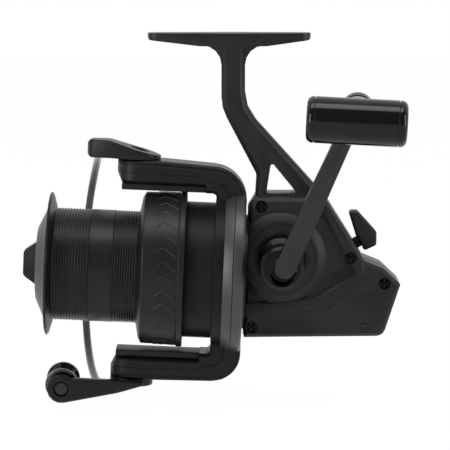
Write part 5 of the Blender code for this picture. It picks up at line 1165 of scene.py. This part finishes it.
@dataclass
class Spool:
    """Spool with its ridged drum, zigzag skirt and drag knob."""

    lip: float = 88.4 * MM
    lip_radius: float = 35.3 * MM
    lip_edge: float = 0.9 * MM
    drum_radius: float = 27.1 * MM
    drum_front: float = 85.4 * MM
    drum_rear: float = 44.9 * MM
    band_front: float = 67.6 * MM
    band_rear: float = 57.0 * MM
    band_rise: float = 0.4 * MM
    drum_wall: float = 2.4 * MM
    flange: float = 43.4 * MM
    skirt_front: float = 42.0 * MM
    skirt_front_radius: float = 37.2 * MM
    skirt_rear: float = 21.9 * MM
    skirt_rear_radius: float = 37.4 * MM
    bead: float = 0.8 * MM
    bead_width: float = 2.6 * MM
    skirt_bore: float = 35.0 * MM
    skirt_web: float = 0.3 * MM
    hub_radius: float = 8.0 * MM
    hub_rear: float = 44.0 * MM
    wall_back: float = 70.5 * MM
    wall: float = 4.0 * MM
    bore: float = 2.5 * MM
    bearing_bore: float = 5.7 * MM
    bearing_seat: float = 70.2 * MM
    drag_bore: float = 15.0 * MM
    dome_radius: float = 27.2 * MM
    dome_shoulder: float = 89.8 * MM
    dome_front: float = 94.1 * MM
    dome_face: float = 18.0 * MM
    ridge_radius: float = 0.42 * MM
    front_pitch: float = 1.42 * MM
    front_ridges: int = 12
    rear_pitch: float = 1.22 * MM
    rear_ridges: int = 10
    front_gap: float = 1.0 * MM
    rear_gap: float = 0.4 * MM
    dial_edge: float = 0.5 * MM
    chevrons: int = 34
    chevron_rib: float = 0.34 * MM
    chevron_peak: float = 32.2 * MM
    chevron_front: float = 35.7 * MM
    chevron_rear: float = 25.6 * MM
    chevron_front_turn: float = math.radians(5.0)
    chevron_rear_turn: float = math.radians(7.6)
    chevron_start: float = math.radians(34.6)

    def build(self) -> None:
        """Dresses the spool and its drag knob."""
        self.shell()
        self.ridges("drum_ridges_front", self.band_front + self.front_gap, self.front_ridges,
                    self.front_pitch)
        self.ridges("drum_ridges_rear", self.drum_rear + self.rear_gap, self.rear_ridges, self.rear_pitch)
        self.zigzag()
        Workshop.rounded("drag_dial", "drag_knob", self.dial_edge, Finishes.COVER, "drag_knob")

    def shell(self) -> None:
        """The spool's turned shell."""
        drum, band = self.drum_radius, self.drum_radius + self.band_rise
        inside = drum - self.drum_wall
        lip_foot = self.lip_radius - self.lip_edge
        front, rear = self.skirt_front_radius, self.skirt_rear_radius
        bead, bead_front = rear + self.bead, self.skirt_rear + self.bead_width
        web = self.skirt_front - self.skirt_web
        wall_front = self.wall_back + self.wall
        shell = Workshop.revolve("spool_shell", eased([
            (self.drag_bore, self.dome_front), (self.dome_face, self.dome_front, 1.5 * MM),
            (self.dome_radius, self.dome_shoulder, 2.0 * MM),
            (lip_foot, self.lip + self.lip_edge / 2, 0.4 * MM), (self.lip_radius, self.lip, 0.3 * MM),
            (lip_foot, self.lip - self.lip_edge, 0.4 * MM),
            (drum, self.drum_front, 0.8 * MM), (drum, self.band_front + self.band_rise),
            (band, self.band_front + self.band_rise / 2), (band, self.band_rear - self.band_rise / 2),
            (drum, self.band_rear - self.band_rise), (drum, self.drum_rear, 1.2 * MM),
            (front - self.drum_wall, self.flange, 2.0 * MM), (front, self.skirt_front, 1.2 * MM),
            (rear, bead_front + self.bead), (bead, bead_front, 0.4 * MM), (bead, self.skirt_rear, 0.6 * MM),
            (self.skirt_bore, self.skirt_rear), (self.skirt_bore, web), (inside, web),
            (inside, self.wall_back), (self.hub_radius, self.wall_back), (self.hub_radius, self.hub_rear),
            (self.bore, self.hub_rear), (self.bore, self.bearing_seat),
            (self.bearing_bore, self.bearing_seat), (self.bearing_bore, wall_front),
            (self.drag_bore, wall_front),
        ], closed=True), LAYOUT.axis, steps=128, closed=True)
        Workshop.finish(shell, Finishes.SPOOL, "spool", ("spool",))

    def zigzag(self) -> None:
        """A ring of bent ribs moulded round the skirt."""
        slope = (self.skirt_rear_radius - self.skirt_front_radius) / (self.skirt_front - self.skirt_rear)

        def on_skirt(height: float, turn: float) -> tuple[float, float, float]:
            """A point on the skirt.

            Args:
                height: its place along the axis.
                turn: its angle round from the top, towards the handle.

            Returns:
                The point in the axis frame.
            """
            radius = self.skirt_front_radius + slope * (self.skirt_front - height)
            return radius * math.cos(turn), -radius * math.sin(turn), height

        tree = NodeTree("skirt_zigzag")
        count = tree.size("Count", self.chevrons, "NodeSocketInt")
        thick = tree.size("Rib radius", self.chevron_rib)
        begin = self.chevron_start
        peak = tree.size("Peak", on_skirt(self.chevron_peak, begin), "NodeSocketVector")
        tips = (("Front end", self.chevron_front, self.chevron_front_turn),
                ("Rear end", self.chevron_rear, self.chevron_rear_turn))
        ends = [tree.size(name, on_skirt(height, begin + bend), "NodeSocketVector")
                for name, height, bend in tips]
        section = tree.node("GeometryNodeCurvePrimitiveCircle")
        section.inputs["Resolution"].default_value = 8
        tree.link(thick, section.inputs["Radius"])
        legs = tree.node("GeometryNodeJoinGeometry")
        for end in ends:
            leg = tree.node("GeometryNodeCurvePrimitiveLine")
            tree.link(peak, leg.inputs["Start"])
            tree.link(end, leg.inputs["End"])
            swept = tree.node("GeometryNodeCurveToMesh")
            swept.inputs["Fill Caps"].default_value = True
            tree.link(leg.outputs["Curve"], swept.inputs["Curve"])
            tree.link(section.outputs["Curve"], swept.inputs["Profile Curve"])
            tree.link(swept.outputs["Mesh"], legs.inputs[0])
        spots = tree.node("GeometryNodeMeshLine")
        spots.inputs["Offset"].default_value = (0.0, 0.0, 0.0)
        tree.link(count, spots.inputs["Count"])
        turn = tree.node("ShaderNodeCombineXYZ")
        number = tree.node("GeometryNodeInputIndex")
        share = tree.math("DIVIDE", number.outputs[0], count)
        tree.link(tree.math("MULTIPLY", share, 2 * math.pi), turn.inputs[2])
        spread = tree.node("GeometryNodeInstanceOnPoints")
        tree.link(spots.outputs["Mesh"], spread.inputs["Points"])
        tree.link(legs.outputs[0], spread.inputs["Instance"])
        tree.link(turn.outputs[0], spread.inputs["Rotation"])
        # The ribs' lighter finish is a painted highlight.
        piece = tree.run("skirt_zigzag", spread.outputs["Instances"], Finishes.LIT_RIB, LAYOUT.axis)
        Workshop.finish(piece, Finishes.LIT_RIB, "spool", smooth=60.0)

    def ridges(self, name: str, start: float, count: int, gap: float) -> None:
        """A run of fine ridges round the drum.

        Args:
            name: the piece's name.
            start: the first ridge's place along the axis.
            count: how many ridges.
            gap: the distance from one to the next.
        """
        tree = NodeTree(name)
        number = tree.size("Count", count, "NodeSocketInt")
        pitch = tree.size("Pitch", gap)
        first = tree.size("Start", start)
        radius = tree.size("Drum radius", self.drum_radius)
        thick = tree.size("Ridge radius", self.ridge_radius)
        line = tree.node("GeometryNodeMeshLine")
        step = tree.node("ShaderNodeCombineXYZ")
        origin = tree.node("ShaderNodeCombineXYZ")
        tree.link(pitch, step.inputs[2])
        tree.link(first, origin.inputs[2])
        tree.link(number, line.inputs["Count"])
        tree.link(origin.outputs[0], line.inputs["Start Location"])
        tree.link(step.outputs[0], line.inputs["Offset"])
        hoop = tree.node("GeometryNodeCurvePrimitiveCircle")
        hoop.inputs["Resolution"].default_value = 128
        tree.link(radius, hoop.inputs["Radius"])
        section = tree.node("GeometryNodeCurvePrimitiveCircle")
        section.inputs["Resolution"].default_value = 10
        tree.link(thick, section.inputs["Radius"])
        swept = tree.node("GeometryNodeCurveToMesh")
        tree.link(hoop.outputs["Curve"], swept.inputs["Curve"])
        tree.link(section.outputs["Curve"], swept.inputs["Profile Curve"])
        spread = tree.node("GeometryNodeInstanceOnPoints")
        tree.link(line.outputs["Mesh"], spread.inputs["Points"])
        tree.link(swept.outputs["Mesh"], spread.inputs["Instance"])
        piece = tree.run(name, spread.outputs["Instances"], Finishes.SPOOL, LAYOUT.axis)
        Workshop.finish(piece, Finishes.SPOOL, "spool", smooth=60.0)


def dress_inner_pieces() -> None:
    """Gives every solid that still shows its finish's material."""
    finishes = Finishes.by_slot()
    slots = {row["node"]: row["material_slot"] for row in frame["record"]["subparts"]}
    for name, solid in frame["nodes"].items():
        look = finishes[slots[name]]
        solid.data.materials.clear()
        solid.data.materials.append(look.material())


def main() -> None:
    """Builds the scene."""
    logging.basicConfig(level=logging.INFO, format="%(name)s %(message)s")
    scene = bpy.context.scene
    scene.view_settings.view_transform = "Standard"
    dress_inner_pieces()
    Stage().build()
    for part in (Body(), Handle(), Rotor(), Bail(), Spool()):
        part.build()


if __name__ == "__main__":
    main()
